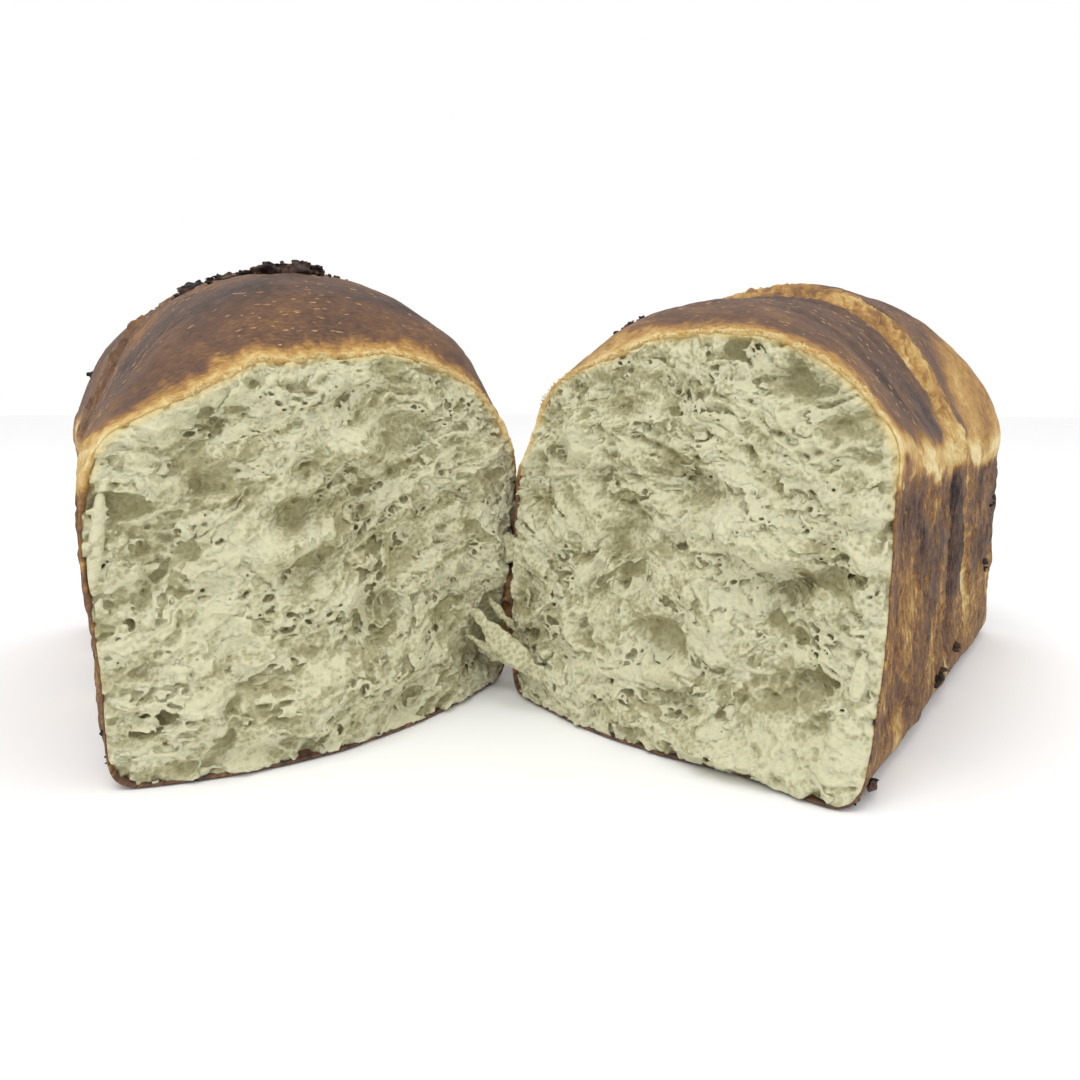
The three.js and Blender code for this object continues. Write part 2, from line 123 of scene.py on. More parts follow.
# Where the dome rose more than its rule says, or less: angle and v of the middle, how far it stands out,
# and how far that reaches in degrees and along the loaf.
LEFT.swells = [(48, 95, 5, 20, 45), (112, 35, -2.2, 18, 20), (8, -2, 3, 26, 20), (97, -4, -4, 20, 10)]
RIGHT.swells = [(140, 10, 4.5, 12, 14), (156, 2, -2.5, 7, 10), (90, 92, 2.6, 22, 20), (38, 134, 3, 14, 20)]

# %% Small helpers for numbers, and repeatable noise
def mix(a, b, t):
    return a + (b - a) * t


def smooth(x):
    t = np.clip(x, 0, 1)
    return t * t * (3 - 2 * t)


def ramp(x, start, over):
    """0 up to start, 1 once x has gone over that much further, smooth in between."""
    return smooth((x - start) / over)


def bump(x, width):
    return np.exp(-((x / width) ** 2))


def turned(degrees):
    """The cosine and the sine of an angle."""
    return math.cos(math.radians(degrees)), math.sin(math.radians(degrees))


LATTICE_STEPS, LATTICE_GAIN = (127.1, 311.7, 53.3), 43758.5453


def lattice_value(i, j, seed):
    """A number from 0 to 1 that belongs to a place of the lattice and looks random."""
    along_i, along_j, along_seed = LATTICE_STEPS
    wave = np.sin(i * along_i + j * along_j + seed * along_seed) * LATTICE_GAIN
    return wave - np.floor(wave)


def noise(x, y, seed):
    """The solid's own noise, from -1 to 1, so that the broad relief is the same here."""
    x, y = np.broadcast_arrays(np.asarray(x, float), np.asarray(y, float))
    i, j = np.floor(x), np.floor(y)
    a, b = smooth(x - i), smooth(y - j)
    low = mix(lattice_value(i, j, seed), lattice_value(i + 1, j, seed), a)
    high = mix(lattice_value(i, j + 1, seed), lattice_value(i + 1, j + 1, seed), a)
    return 2 * mix(low, high, b) - 1


SHIFT_X, SHIFT_Y, SEED_STEP, TURN_COS, TURN_SIN, ROUGH_GAIN = 17.3, 9.1, 31, 0.8, 0.6, 1.4


def rough(x, y, seed, octaves=3, fade=0.5):
    """Several sizes of that noise together, each one shifted and turned, so that no lattice shows."""
    total, weight, strength = 0, 0, 1
    for k in range(octaves):
        total = total + strength * noise(x + SHIFT_X * k, y - SHIFT_Y * k, seed + SEED_STEP * k)
        weight += strength
        strength *= fade
        x, y = 2 * (TURN_COS * x - TURN_SIN * y), 2 * (TURN_SIN * x + TURN_COS * y)
    return ROUGH_GAIN * total / weight


def ridged(x, y, seed):
    """Thin crests between broad hollows, from 0 to 1."""
    return (1 - np.abs(noise(x, y, seed))) ** 3


def cells(x, y, seed):
    """Distances to the nearest and the next of scattered points, and a number that belongs to the nearest."""
    x, y = np.broadcast_arrays(np.asarray(x, float), np.asarray(y, float))
    i, j = np.floor(x), np.floor(y)
    far_off = 9.0
    near, second, own = np.full(x.shape, far_off), np.full(x.shape, far_off), np.zeros(x.shape)
    for step_i in (-1, 0, 1):
        for step_j in (-1, 0, 1):
            ci, cj = i + step_i, j + step_j
            far = np.hypot(ci + lattice_value(ci, cj, seed) - x, cj + lattice_value(ci, cj, seed + 1) - y)
            closer = far < near
            second = np.where(closer, near, np.minimum(second, far))
            own = np.where(closer, lattice_value(ci, cj, seed + 2), own)
            near = np.where(closer, far, near)
    return near, second, own


# %% The shape of the crust, the tear and the way the halves lie
def crown_height(half, v):
    """The height of the dome's crest, from the tear over the seam down to the closed end."""
    risen = mix(half.torn_top, half.crest, 1 - np.exp(-np.maximum(v, 0) / RISE_LENGTH))
    crest = mix(risen, CREST_HEIGHT, smooth((v - SEAM_AT + CREST_FALL_AHEAD) / CREST_FALL_LENGTH))
    fall = np.clip((v - (HALF_LENGTH - END_FALL)) / END_FALL, 0, 1)
    return mix(TIN_HEIGHT, crest, np.sqrt(1 - fall * fall))


def crust_radius(half, angle, v):
    """How far the crust lies from the core's line, all round the section at v."""
    across, up = np.abs(np.cos(angle)), np.sin(angle)
    into_end = np.clip((v - HALF_LENGTH) / END_ROUNDING + 1, 0, 1)
    end_inset = END_ROUNDING * (1 - np.sqrt(1 - into_end ** 2))
    flare = (TIN_TOP_WIDTH - TIN_BOTTOM_WIDTH) / 2 / TIN_HEIGHT
    wall = (across - flare * up) / (TIN_BOTTOM_WIDTH / 2 + flare * CORE_HEIGHT - end_inset)
    floor = np.maximum(0, -up) / (CORE_HEIGHT + FLAT_DEPTH - end_inset)
    second_swell = SECOND_SWELL * bump(v - SECOND_SWELL_AT, SECOND_SWELL_LENGTH)
    swell = DOME_HALF_WIDTH + second_swell - end_inset
    rise = crown_height(half, v) - CORE_HEIGHT
    dome = ((across / swell) ** DOME_POWER + (np.maximum(0, up) / rise) ** DOME_POWER) ** (1 / DOME_POWER)
    p = CORNER_SHARPNESS
    radius = (np.maximum(wall, 0) ** p + floor ** p + dome ** p) ** (-1 / p)
    height = CORE_HEIGHT + radius * up
    rim = OVERHANG * bump(height - OVERHANG_HEIGHT, OVERHANG_BAND) * across ** 2
    crease = SEAM_DEPTH * bump(v - SEAM_AT, SEAM_WIDTH) * ramp(height, CREASE_FOOT, CREASE_GROWTH)
    crease = crease * mix(0.5, 1, across)
    for swell_angle, swell_v, lift, around, along in half.swells:
        radius = radius + lift * bump(np.degrees(angle) - swell_angle, around) * bump(v - swell_v, along)
    return radius + rim - crease


def side_shift(half, angle, v, z):
    """How far the dome leans sideways, and how far the foot at the hinge slumps."""
    sway = mix(half.sway[0], half.sway[1], smooth(v / SWAY_GROWS)) * (1 - ramp(v, SWAY_HOLDS, SWAY_FADES))
    near_hinge = np.maximum(0, -np.cos(angle)) * np.clip(1 - z / TIN_HEIGHT, 0, 1)
    slump = half.slump * near_hinge * np.exp(-np.maximum(v, 0) / SLUMP_LENGTH)
    return sway * ramp(z, SWAY_FOOT, SWAY_HEIGHT) - slump


def crust_point(half, angle, v, lift=0):
    """A point of the crust as u, v, z; lift raises it off the skin."""
    radius = crust_radius(half, angle, v)
    z = np.maximum(0, CORE_HEIGHT + radius * np.sin(angle))
    lean = END_LEAN * ramp(v, 90, 50) * np.clip(1 - z / TIN_HEIGHT, 0, 1)
    u = CENTRE_U + (radius + lift) * np.cos(angle) + side_shift(half, angle, v, z)
    return u, v - lean, np.maximum(0, z + lift * np.sin(angle))


def tear_depth(half, u, z):
    """Where the tear lies: its v at every u and z."""
    share = np.clip(u / TIN_TOP_WIDTH, 0, 1)
    askew = u * math.tan(math.radians(half.skew))
    bow = half.bow * np.sin(np.pi * share ** half.bow_shape) * (1 - smooth(z / BOW_HEIGHT))
    swell = TEAR_SWELL * 4 * share * (1 - share) * bump(z - TEAR_SWELL_HEIGHT, TEAR_SWELL_BAND)
    lean = TEAR_LEAN * z * np.maximum(smooth(u / 35), ramp(z, TIN_HEIGHT, 20))
    lost_corner = half.lost_corner * bump(np.hypot(u, z), LOST_CORNER_REACH)
    toe = half.toe * bump(np.hypot(u - TIN_BOTTOM_WIDTH, z), TOE_REACH)
    return askew + lean + lost_corner - bow - swell - toe


def tear_edge(half, angle):
    """The v of the crust's torn edge at each angle, found step by step."""
    v = np.zeros_like(angle)
    for _ in range(6):
        u, _, z = crust_point(half, angle, v)
        v = mix(v, tear_depth(half, u, z) + EDGE_RAGGEDNESS * noise(angle * EDGE_WAVES, 0, 3), 0.7)
    return v


def placed(half, u, v, z):
    """From a half's own frame to the loaf's, in metres."""
    c, s = turned(half.turn)
    x = HINGE[0] + half.offset[0] + half.side * (u * c + v * s)
    y = HINGE[1] + half.offset[1] - u * s + v * c
    return np.stack([x, y, z + 0 * u], axis=-1) / 1000


# %% Turn rows of numbers into a Blender mesh that rides on the loaf's body
def mesh_piece(name, points, faces, attributes):
    """points in metres; faces as triangles or squares; attributes are one number or three for each point."""
    mesh = bpy.data.meshes.new(name)
    faces = [np.asarray(block) for block in (faces if isinstance(faces, list) else [faces])]
    corners = np.concatenate([block.ravel() for block in faces]).astype(np.int32)
    sizes = np.concatenate([np.full(len(block), block.shape[1]) for block in faces])
    mesh.vertices.add(len(points))
    mesh.vertices.foreach_set("co", np.asarray(points, np.float32).ravel())
    mesh.loops.add(len(corners))
    mesh.loops.foreach_set("vertex_index", corners)
    mesh.polygons.add(len(sizes))
    mesh.polygons.foreach_set("loop_start", np.concatenate([[0], np.cumsum(sizes)[:-1]]).astype(np.int32))
    mesh.update(calc_edges=True)
    mesh.validate()
    mesh.polygons.foreach_set("use_smooth", np.full(len(mesh.polygons), True))
    for key, values in attributes.items():
        values = np.asarray(values, np.float32)
        kind, field = ("FLOAT", "value") if values.ndim == 1 else ("FLOAT_VECTOR", "vector")
        mesh.attributes.new(key, kind, "POINT").data.foreach_set(field, values.ravel())
    piece = bpy.data.objects.new(name, mesh)
    bpy.context.collection.objects.link(piece)
    triangles = sum(len(block) * (block.shape[1] - 2) for block in faces)
    print(f"{name}: {len(points)} points, {triangles} triangles")
    return piece


def keep_connected(points, faces, smallest=None):
    """Drops loose crumbs and closed bubbles. Only the largest connected surface stays, or with smallest
    every one that has at least so many faces."""
    label = np.arange(len(points))
    while True:
        low = label[faces].min(axis=1)
        new = label.copy()
        for column in range(faces.shape[1]):
            np.minimum.at(new, faces[:, column], low)
        new = new[new]
        if (new == label).all():
            break
        label = new
    kinds, counts = np.unique(label[faces[:, 0]], return_counts=True)
    wanted = kinds[counts >= (smallest or counts.max())]
    faces = faces[np.isin(label[faces[:, 0]], wanted)]
    used, flat = np.unique(faces.ravel(), return_inverse=True)
    return points[used], flat.reshape(faces.shape)


# %% [markdown]
# ## Camera, floor and light
# The photograph looks straight ahead from just above the loaf, close up and with a wide lens, so the
# near corners of both halves spread apart. A pale floor and large soft lights stand in for the studio.

# %% The camera at the photograph's viewing angle
scene = bpy.context.scene
camera = bpy.data.objects.new("camera", bpy.data.cameras.new("camera"))
camera.location = (0.04138, -0.25453, 0.08629)
camera.rotation_euler = [math.radians(turn) for turn in (89.99, -0.18, 1.48)]
camera.data.lens, camera.data.sensor_width = 24.61, 36
camera.data.shift_x, camera.data.shift_y = -0.0766, -0.1256
camera.data.clip_start = 0.01
scene.collection.objects.link(camera)
scene.camera = camera

# %% A pale floor and soft light
scene.view_settings.view_transform = "Standard"
scene.view_settings.look = "None"
FLOOR_RADIUS, FLOOR_DROP = 6.0, 0.0004
bpy.ops.mesh.primitive_circle_add(
    vertices=96, radius=FLOOR_RADIUS, fill_type="NGON", location=(0, 0, -FLOOR_DROP))
floor = bpy.context.object
floor.name = "floor"
world = bpy.data.worlds.new("studio")
world.use_nodes = True
background = world.node_tree.nodes["Background"]
background.inputs["Color"].default_value = (1, 1, 1, 1)
background.inputs["Strength"].default_value = 1.0
scene.world = world


def soft_light(name, place, target, size, power):
    lamp = bpy.data.lights.new(name, "AREA")
    lamp.shape, lamp.size, lamp.energy = "SQUARE", size, power
    light = bpy.data.objects.new(name, lamp)
    light.location = place
    aim = np.array(target) - np.array(place)
    light.rotation_euler = Vector(aim).to_track_quat("-Z", "Y").to_euler()
    scene.collection.objects.link(light)


soft_light("softbox_above", (-0.30, -0.45, 1.15), (0, 0, 0.05), 0.8, 5.0)
soft_light("softbox_right", (0.95, -0.45, 0.55), (0.05, 0, 0.05), 0.6, 1.6)

# %% [markdown]
# ## Writing node graphs as Python
# Node graphs are long when every sum is a node. A Field wraps a socket, so that an expression such as
# bake + 0.2 * (spots - 0.5) adds the Math nodes by itself. Colours go through Mix nodes.

# %% A socket that can be used in an expression, and a graph that it belongs to
class Field:
    def __init__(self, tree, socket):
        self.tree, self.socket = tree, socket

    def maths(self, operation, *values):
        return Graph(self.tree).node("ShaderNodeMath", {"operation": operation}, *values)

    def __add__(self, other): return self.maths("ADD", self, other)
    def __radd__(self, other): return self.maths("ADD", self, other)
    def __sub__(self, other): return self.maths("SUBTRACT", self, other)
    def __rsub__(self, other): return self.maths("SUBTRACT", other, self)
    def __mul__(self, other): return self.maths("MULTIPLY", self, other)
    def __rmul__(self, other): return self.maths("MULTIPLY", self, other)

    def step(self, low, high):
        """0 below low, 1 above high, smooth in between."""
        return Graph(self.tree).node("ShaderNodeMapRange", {"interpolation_type": "SMOOTHSTEP"},
                                     Value=self, From_Min=low, From_Max=high)

    def beside(self, name):
        """Another output of the same node."""
        return Field(self.tree, self.socket.node.outputs[name])


class Graph:
    """A node tree, with one method for any node in it."""
    def __init__(self, tree):
        self.tree = tree

    def join(self, made, values, inputs):
        """Gives a node's sockets their values, in order or by name."""
        pairs = list(zip(made.inputs, values))
        for key, value in inputs.items():
            label = key.replace("_", " ")
            named = [socket for socket in made.inputs if socket.name == label and socket.enabled]
            pairs.append((named[0], value))
        for socket, value in pairs:
            if isinstance(value, Field):
                self.tree.links.new(value.socket, socket)
            else:
                socket.default_value = value

    def node(self, kind, settings=None, *values, out=0, **inputs):
        made = self.tree.nodes.new(kind)
        for key, value in (settings or {}).items():
            setattr(made, key, value)
        self.join(made, values, inputs)
        return Field(self.tree, made.outputs[out])


class Paint(Graph):
    """One material's graph, which ends in its shader."""
    def __init__(self, name):
        self.material = bpy.data.materials.new(name)
        self.material.use_nodes = True
        super().__init__(self.material.node_tree)

    def attribute(self, name, out=2):
        """An attribute of the mesh: out 2 is its number, 1 its vector."""
        return self.node("ShaderNodeAttribute", {"attribute_name": name}, out=out)

    def object_place(self):
        return self.node("ShaderNodeTexCoord", out=3)

    def vector(self, operation, *values):
        return self.node("ShaderNodeVectorMath", {"operation": operation}, *values)

    def noise(self, where, scale, detail=3.0, roughness=0.55):
        return self.node("ShaderNodeTexNoise", Vector=where, Scale=scale, Detail=detail, Roughness=roughness)

    def walls(self, where, scale, width):
        """1 on the walls between small cells, 0 inside them."""
        middle = self.node("ShaderNodeTexVoronoi", {"feature": "F1"}, Vector=where, Scale=scale, Randomness=1.0)
        return middle.step(width, 0.75)

    def blend(self, factor, low, high):
        return self.node("ShaderNodeMix", {"data_type": "RGBA"}, out=2, Factor=factor, A=low, B=high)

    def colours(self, factor, stops):
        """A colour ramp: each stop is a place from 0 to 1 and a colour."""
        made = self.node("ShaderNodeValToRGB", Fac=factor)
        ramp_of_colours = made.socket.node.color_ramp
        for _ in stops[2:]:
            ramp_of_colours.elements.new(0.5)
        for element, (place, colour) in zip(ramp_of_colours.elements, stops):
            element.position, element.color = place, colour
        return made

    def bump(self, height, distance, strength):
        return self.node("ShaderNodeBump", Distance=distance, Strength=strength, Height=height)

    def finish(self, **inputs):
        """Joins values to the shader's sockets, and returns the material."""
        self.join(self.tree.nodes["Principled BSDF"], (), inputs)
        return self.material


def linear(red, green, blue):
    """A colour as the eye reads it, 0 to 255, to the linear values that shaders use, and its alpha."""
    values = np.array([red, green, blue]) / 255
    return *np.where(values > 0.04045, ((values + 0.055) / 1.055) ** 2.4, values / 12.92), 1


# %% The floor's finish
paint = Paint("pale_floor")
paper = paint.noise(paint.object_place(), 40.0)
shade = paint.blend(paper, linear(248, 248, 248), linear(251, 251, 251))
floor.data.materials.append(paint.finish(Base_Color=shade, Roughness=0.9))

# %% [markdown]
# ## The baked crust
# The crust is one skin over each half: a dome that rose out of the tin, straight walls where the tin
# held it, a torn edge in front and a rounded end behind. It is built as a grid of points, so its wrinkles,
# pits and dents can be pushed in and out, and each point also notes how hard it was baked there.

# %% Where the grid lines of the crust run
COLUMNS, ROWS, END_RINGS = 480, 165, 14
MEASURED_AT, MEASURED_ANGLES = 40.0, 4001


def section_angles(half):
    """Angles round the section that lie equally far apart along the crust, from the bottom's middle."""
    dense = np.linspace(BOTTOM_ANGLE, BOTTOM_ANGLE + TURN, MEASURED_ANGLES)
    radius = crust_radius(half, dense, np.full_like(dense, MEASURED_AT))
    x, y = radius * np.cos(dense), radius * np.sin(dense)
    walked = np.concatenate([[0], np.cumsum(np.hypot(np.diff(x), np.diff(y)))])
    angles = np.interp(np.arange(COLUMNS) / COLUMNS * walked[-1], walked, dense)
    arcs = np.interp(angles, dense, walked) - walked[-1] / 2
    return angles, arcs


# %% How far each place of the crust stands out or in
SEAM_MIDDLE = 4  # how far behind the crease the middle of the rough, pale seam lies
RIDGE_ANGLE, RIDGE_AHEAD = 75, 14
TORN_LIP, FRESH_EDGE = 10, 4  # how far behind the torn rim the pits and the ragged edge reach


# Every line of relief is a depth times a pattern, and the pattern's divisors are its sizes along the arc,
# along v and up z. All are in millimetres.
def seam_cells(half, arc, v):
    """The pitted cells of the seam between the dough balls."""
    return cells(arc / 5 + 0.5 * rough(arc / 4, v / 4, half.seed), v / 3.2, half.seed + 4)


def wall_dents(half, v, z):
    """Slanting dents where the dough didn't quite fill the tin, from 0 to about a half."""
    return np.clip(noise((v + 0.45 * z) / 7, (z - 0.5 * v) / 24, half.seed + 6) - 0.45, 0, 1)


def crust_relief(half, arc, v, z, angle, behind):
    """How far the crust stands out or in; behind is the distance from the torn rim."""
    seed = half.seed
    crown = ramp(z, CROWN_LINE, 12)
    wall = ramp(z, 4, 8) * (1 - ramp(z, WALL_LINE, 10))
    # Broad swells, fine lines and wrinkles that follow the dome's arc
    lift = 0.7 * rough(arc / 24, v / 20, seed) + 0.35 * rough(arc / 9, v / 6, seed + 1)
    lift += crown * 0.16 * rough(arc / 8, v / 1.6, seed + 2)
    wrinkles = ridged(arc / 26, v / 5, seed + 12) * ramp(noise(arc / 30, v / 14, seed + 13), 0.1, 0.3)
    lift -= crown * 0.6 * wrinkles
    # The seam's pits
    seam = bump(v - SEAM_AT - SEAM_MIDDLE, 8) * ramp(z, WALL_LINE, 16)
    near, second, own = seam_cells(half, arc, v)
    lift += seam * (1.5 - 3.2 * own * smooth((second - near) / 0.5) + 0.8 * rough(arc / 2.5, v / 2, seed + 14))
    # The walls' pores, grain and dents
    lift -= wall * 1.6 * np.clip(rough(v / 1.7, z / 6, seed + 5) - 0.18, 0, 1)
    lift -= wall * 0.45 * rough(v / 0.9, z / 4, seed + 15, 2)
    lift -= wall * 3.6 * wall_dents(half, v, z)
    # The cracked shoulder above the tin's line, and the ridge under the burnt bits
    shelf = bump(z - CROWN_LINE, 8)
    near, second, own = cells(v / 7 + z / 11 + 0.6 * noise(v / 6, z / 6, seed), z / 8, seed + 7)
    lift += shelf * (0.5 - 1.3 * own * smooth((second - near) / 0.5))
    uneven = 0.6 + 0.4 * noise(angle * 9, v / 6, 4)
    ridge = half.ridge * uneven * bump(np.degrees(angle) - RIDGE_ANGLE, 24)
    lift += ridge * bump(v - (SEAM_AT - RIDGE_AHEAD), 6)
    # All of it fades out towards the torn rim, which is ragged by itself
    lift = np.where(lift < 0, lift * smooth(behind / TORN_LIP), lift * smooth(behind / 3 + 0.3))
    fresh = np.exp(-behind / FRESH_EDGE) * ramp(z, 50, 20)
    return lift + fresh * (0.55 * rough(arc / 2.5, v / 1.5, seed + 8) + 0.1)


# %% How hard each place was baked: 0 is pale yellow, 1 is nearly black
PALE, GOLDEN, CHESTNUT, BURNT_SEAM, UNDERSIDE = 0.16, 0.33, 0.60, 0.70, 0.66
TORN_RIM, RIM_FOOT, RIM_WALL = 0.05, 0.62, 0.46


def crust_bake(half, arc, v, z, behind):
    seed = half.seed + 100
    # A golden band behind the torn edge, then chestnut with darker and lighter bands along the arc
    ragged = np.maximum(1 + 0.8 * rough(arc / 6, behind / 6, seed, 4, 0.7), 0.35)
    golden_width = (4.6 if half is LEFT else mix(4.2, 15.0, ramp(arc, 8, 26))) * ragged
    dark = smooth((behind - 0.55 * golden_width) / (0.9 * golden_width + 0.5))
    gold = mix(PALE, GOLDEN, smooth(behind / (0.6 * golden_width)))
    crown = mix(gold, CHESTNUT, dark)
    middle = ramp(behind, 14, 16)
    crown = crown + dark * (0.08 + 0.17 * rough(arc / 30, v / 11, seed + 1)) * middle
    crown = crown + dark * 0.05 * rough(arc / 14, v / 2.2, seed + 2)
    if half is LEFT:
        streak = bump(v - 54 - 2 * noise(arc / 12, 0, seed), 2.4) * smooth((-arc - 34) / 14)
        crown = mix(crown, 0.42, np.clip(streak * (0.5 + 0.8 * rough(arc / 16, v / 2, seed + 7)), 0, 0.6))
    # The seam, pale with darker pits, and its burnt front edge
    seam = smooth(1.5 * bump(v - SEAM_AT - SEAM_MIDDLE, 8) + 0.5 * rough(arc / 6, v / 3, seed + 3) - 0.25)
    near, second, _ = seam_cells(half, arc, v)
    pits = smooth((second - near) / 0.4)
    if half is LEFT:
        seam = seam * mix(0.35, 1.0, smooth((arc + 45) / 40))
    crown = mix(crown, 0.22 + 0.16 * pits + 0.12 * rough(arc / 3, v / 1.2, seed + 15), seam)
    crown = mix(crown, BURNT_SEAM, 0.8 * bump(v - SEAM_AT + SEAM_MIDDLE, 1.5) * ramp(z, 84, 10))
    # The second dough ball turns golden towards the closed end
    second_lobe = smooth((v - SEAM_AT - 13) / 5)
    slant = 0.6 if half is RIGHT else 0.1
    turning_gold = smooth((v - 126 - slant * arc) / 24 + 0.5 * rough(arc / 18, v / 12, seed + 8))
    crown = mix(crown, mix(0.62, 0.24, turning_gold), 0.85 * second_lobe)
    # The stretched shoulder stays pale
    low = half.shelf
    shoulder = smooth((low + 17 - z + 6 * rough(v / 22 + z / 30, z / 16, seed + 12)) / 9)
    pale = mix(0.24, 0.10, smooth((-arc - 20) / 30)) if half is RIGHT else 0.24
    crown = mix(crown, pale + 0.18 * rough(v / 7 + z / 9, z / 6, seed + 4), shoulder)
    # The walls, burnt in a band below the tin's line, golden in the dents and dark in the seam
    wall = 0.46 + 0.12 * rough(v / 12, z / 18, seed + 5) + 0.10 * rough(v / 1.6 + z / 6, z / 5, seed + 13)
    burnt = smooth((z - 30 - 16 * noise(v / 16, 1, seed + 9)) / 16) * (1 - ramp(z, 64, 9))
    wall = wall + 0.22 * burnt * (0.75 + 0.8 * rough(v / 8, z / 12, seed + 10))
    wall = wall - 0.8 * wall_dents(half, v, z)
    wall = wall + 0.30 * bump(v - SEAM_AT, 5) * ramp(z, 8, 30)
    bake = mix(wall, crown, smooth((z - low + 7 * rough(v / 16 - z / 20, z / 12, seed + 11)) / 6))
    # The underside, and the cut edge of the crust itself
    under = 1 - smooth(z / 3)
    bake = mix(bake, UNDERSIDE + 0.10 * rough(arc / 10, v / 10, seed + 6), under)
    rim = np.exp(-behind / CRUST_THICKNESS)
    bake = mix(bake, mix(mix(RIM_FOOT, RIM_WALL, smooth(z / 6)), TORN_RIM, ramp(z, WALL_LINE, 10)), rim)
    patches = 0.09 * rough(arc / 13, v / 11, seed + 16, 2)
    return np.clip(bake + patches, 0, 1)


# %% Build the crust of one half as a closed skin
# The rings inside the torn rim: how far in from the crust, and how far behind the tear
RIM_RINGS = ((0.35, -0.1), (CRUST_THICKNESS, 0.8), (CRUST_THICKNESS + 1.2, 7.0))
BACK_WALL, BACK_SHRINKS = 9, (0.75, 0.4)
END_PUFF, ARC_PER_U, V_PER_Z = 0.8, 4, 0.6


def crust_piece(half):
    angles, arcs = section_angles(half)
    edge = tear_edge(half, angles)
    steps = np.linspace(0, 1, ROWS)
    share = steps * 0.2 + 0.8 * steps ** 2  # closer together near the tear
    v = mix(edge[None, :], HALF_LENGTH, share[:, None])
    angle = np.broadcast_to(angles, v.shape)
    arc = np.broadcast_to(arcs, v.shape)
    smooth_skin = np.stack(crust_point(half, angle, v))
    height = smooth_skin[2]
    walked = np.sqrt((np.diff(smooth_skin, axis=1) ** 2).sum(axis=0)).cumsum(axis=0)
    behind = np.concatenate([np.zeros((1, COLUMNS)), walked])
    taper = 1 - smooth((v - HALF_LENGTH + 4) / 4)
    lift = crust_relief(half, arc, v, height, angle, behind) * taper * smooth(height / 3)
    u, along, z = crust_point(half, angle, v, lift)
    bake = crust_bake(half, arc, v, height, behind)
    half.rim = placed(half, u[0], along[0], z[0])
    clusters = 0.4 + 0.8 * smooth(rough(arc / 22, v / 12, half.seed + 30) / 0.5)
    shown = ramp(z, 78, 8) * ramp(behind, 3, 6)
    speckle = clusters * shown * ramp(bake, 0.42, 0.12)
    rings = [(u, along, z, bake, v, arc, speckle)]

    # The end wall, drawn in to its middle
    shares = np.linspace(1, 0, END_RINGS + 1)[1:-1, None]
    reach = shares * (crust_radius(half, angles, np.full(COLUMNS, float(HALF_LENGTH))) - 1)[None, :]
    z_end = CORE_HEIGHT + reach * np.sin(angles)
    lean = END_LEAN * np.clip(1 - z_end / TIN_HEIGHT, 0, 1)
    u_end = CENTRE_U + reach * np.cos(angles)
    puff = END_PUFF * (1 - shares) + 0.7 * rough(u_end / 12, z_end / 12, half.seed + 9) * (1 - shares ** 6)
    v_end = HALF_LENGTH - lean + puff
    bake_end = np.clip(0.55 + 0.12 * rough(u_end / 16, z_end / 16, half.seed + 10), 0, 1)
    rings.append((u_end, v_end, z_end, bake_end, V_PER_Z * z_end, ARC_PER_U * u_end, np.zeros_like(u_end)))

    # The torn rim, and a closed wall behind the crumb
    inner, none = [], np.zeros(COLUMNS)
    for inset, back in RIM_RINGS:
        radius = crust_radius(half, angles, edge) - inset
        z_rim = np.maximum(0.6, CORE_HEIGHT + radius * np.sin(angles))
        u_rim = CENTRE_U + radius * np.cos(angles) + side_shift(half, angles, edge, z_rim)
        tone = mix(mix(0.66, 0.5, smooth(z_rim / 6)), 0.12, ramp(z_rim, WALL_LINE, 10))
        inner.append((u_rim, edge + back, z_rim, tone, edge, arcs, none))
    for shrink in BACK_SHRINKS:
        u_in, z_in = mix(CENTRE_U, u_rim, shrink), mix(CORE_HEIGHT, z_rim, shrink)
        inner.append((u_in, tear_depth(half, u_in, z_in) + BACK_WALL, z_in, tone, edge, arcs, none))
    rings.insert(0, [np.stack(rows) for rows in zip(*inner[::-1])])

    u, along, z, bake, v, arc, speckle = (np.concatenate(blocks) for blocks in zip(*rings))
    rows = len(u)
    index = np.arange(rows * COLUMNS).reshape(rows, COLUMNS)
    a, b = index[:-1], np.roll(index, -1, axis=1)[:-1]
    c, d = np.roll(index, -1, axis=1)[1:], index[1:]
    squares = np.stack([a, d, c, b], axis=-1).reshape(-1, 4)
    first, last = rows * COLUMNS, rows * COLUMNS + 1
    fan = np.stack([np.full(COLUMNS, first), index[0], np.roll(index[0], -1)], axis=-1)
    end = np.stack([np.full(COLUMNS, last), np.roll(index[-1], -1), index[-1]], axis=-1)
    if half.side < 0:
        squares, fan, end = squares[:, ::-1], fan[:, ::-1], end[:, ::-1]
    front_v = float(tear_depth(half, CENTRE_U, CORE_HEIGHT)) + BACK_WALL
    end_v = HALF_LENGTH + END_PUFF - END_LEAN * (1 - CORE_HEIGHT / TIN_HEIGHT)

    # The last two points close the front and the end
    def with_poles(field, front_pole, end_pole):
        return np.concatenate([field.ravel(), [front_pole, end_pole]])

    z = with_poles(z, CORE_HEIGHT, CORE_HEIGHT)
    points = placed(half, with_poles(u, CENTRE_U, CENTRE_U), with_poles(along, front_v, end_v), z)
    place = [with_poles(arc, 0, ARC_PER_U * CENTRE_U), with_poles(v, 0, V_PER_Z * CORE_HEIGHT), z]
    grid = points[:first].reshape(rows, COLUMNS, 3)
    tangent = (np.roll(grid, -1, axis=1) - np.roll(grid, 1, axis=1)).reshape(-1, 3)
    attributes = {"place": np.stack(place, axis=-1), "bake": with_poles(bake, 0.3, 0.55),
                  "tangent": np.concatenate([tangent, [(1, 0, 0), (1, 0, 0)]]),
                  "speckle": with_poles(speckle, 0, 0)}
    return mesh_piece(f"crust_{half.name}", points, [squares, fan, end], attributes)


crusts = [crust_piece(half) for half in (LEFT, RIGHT)]

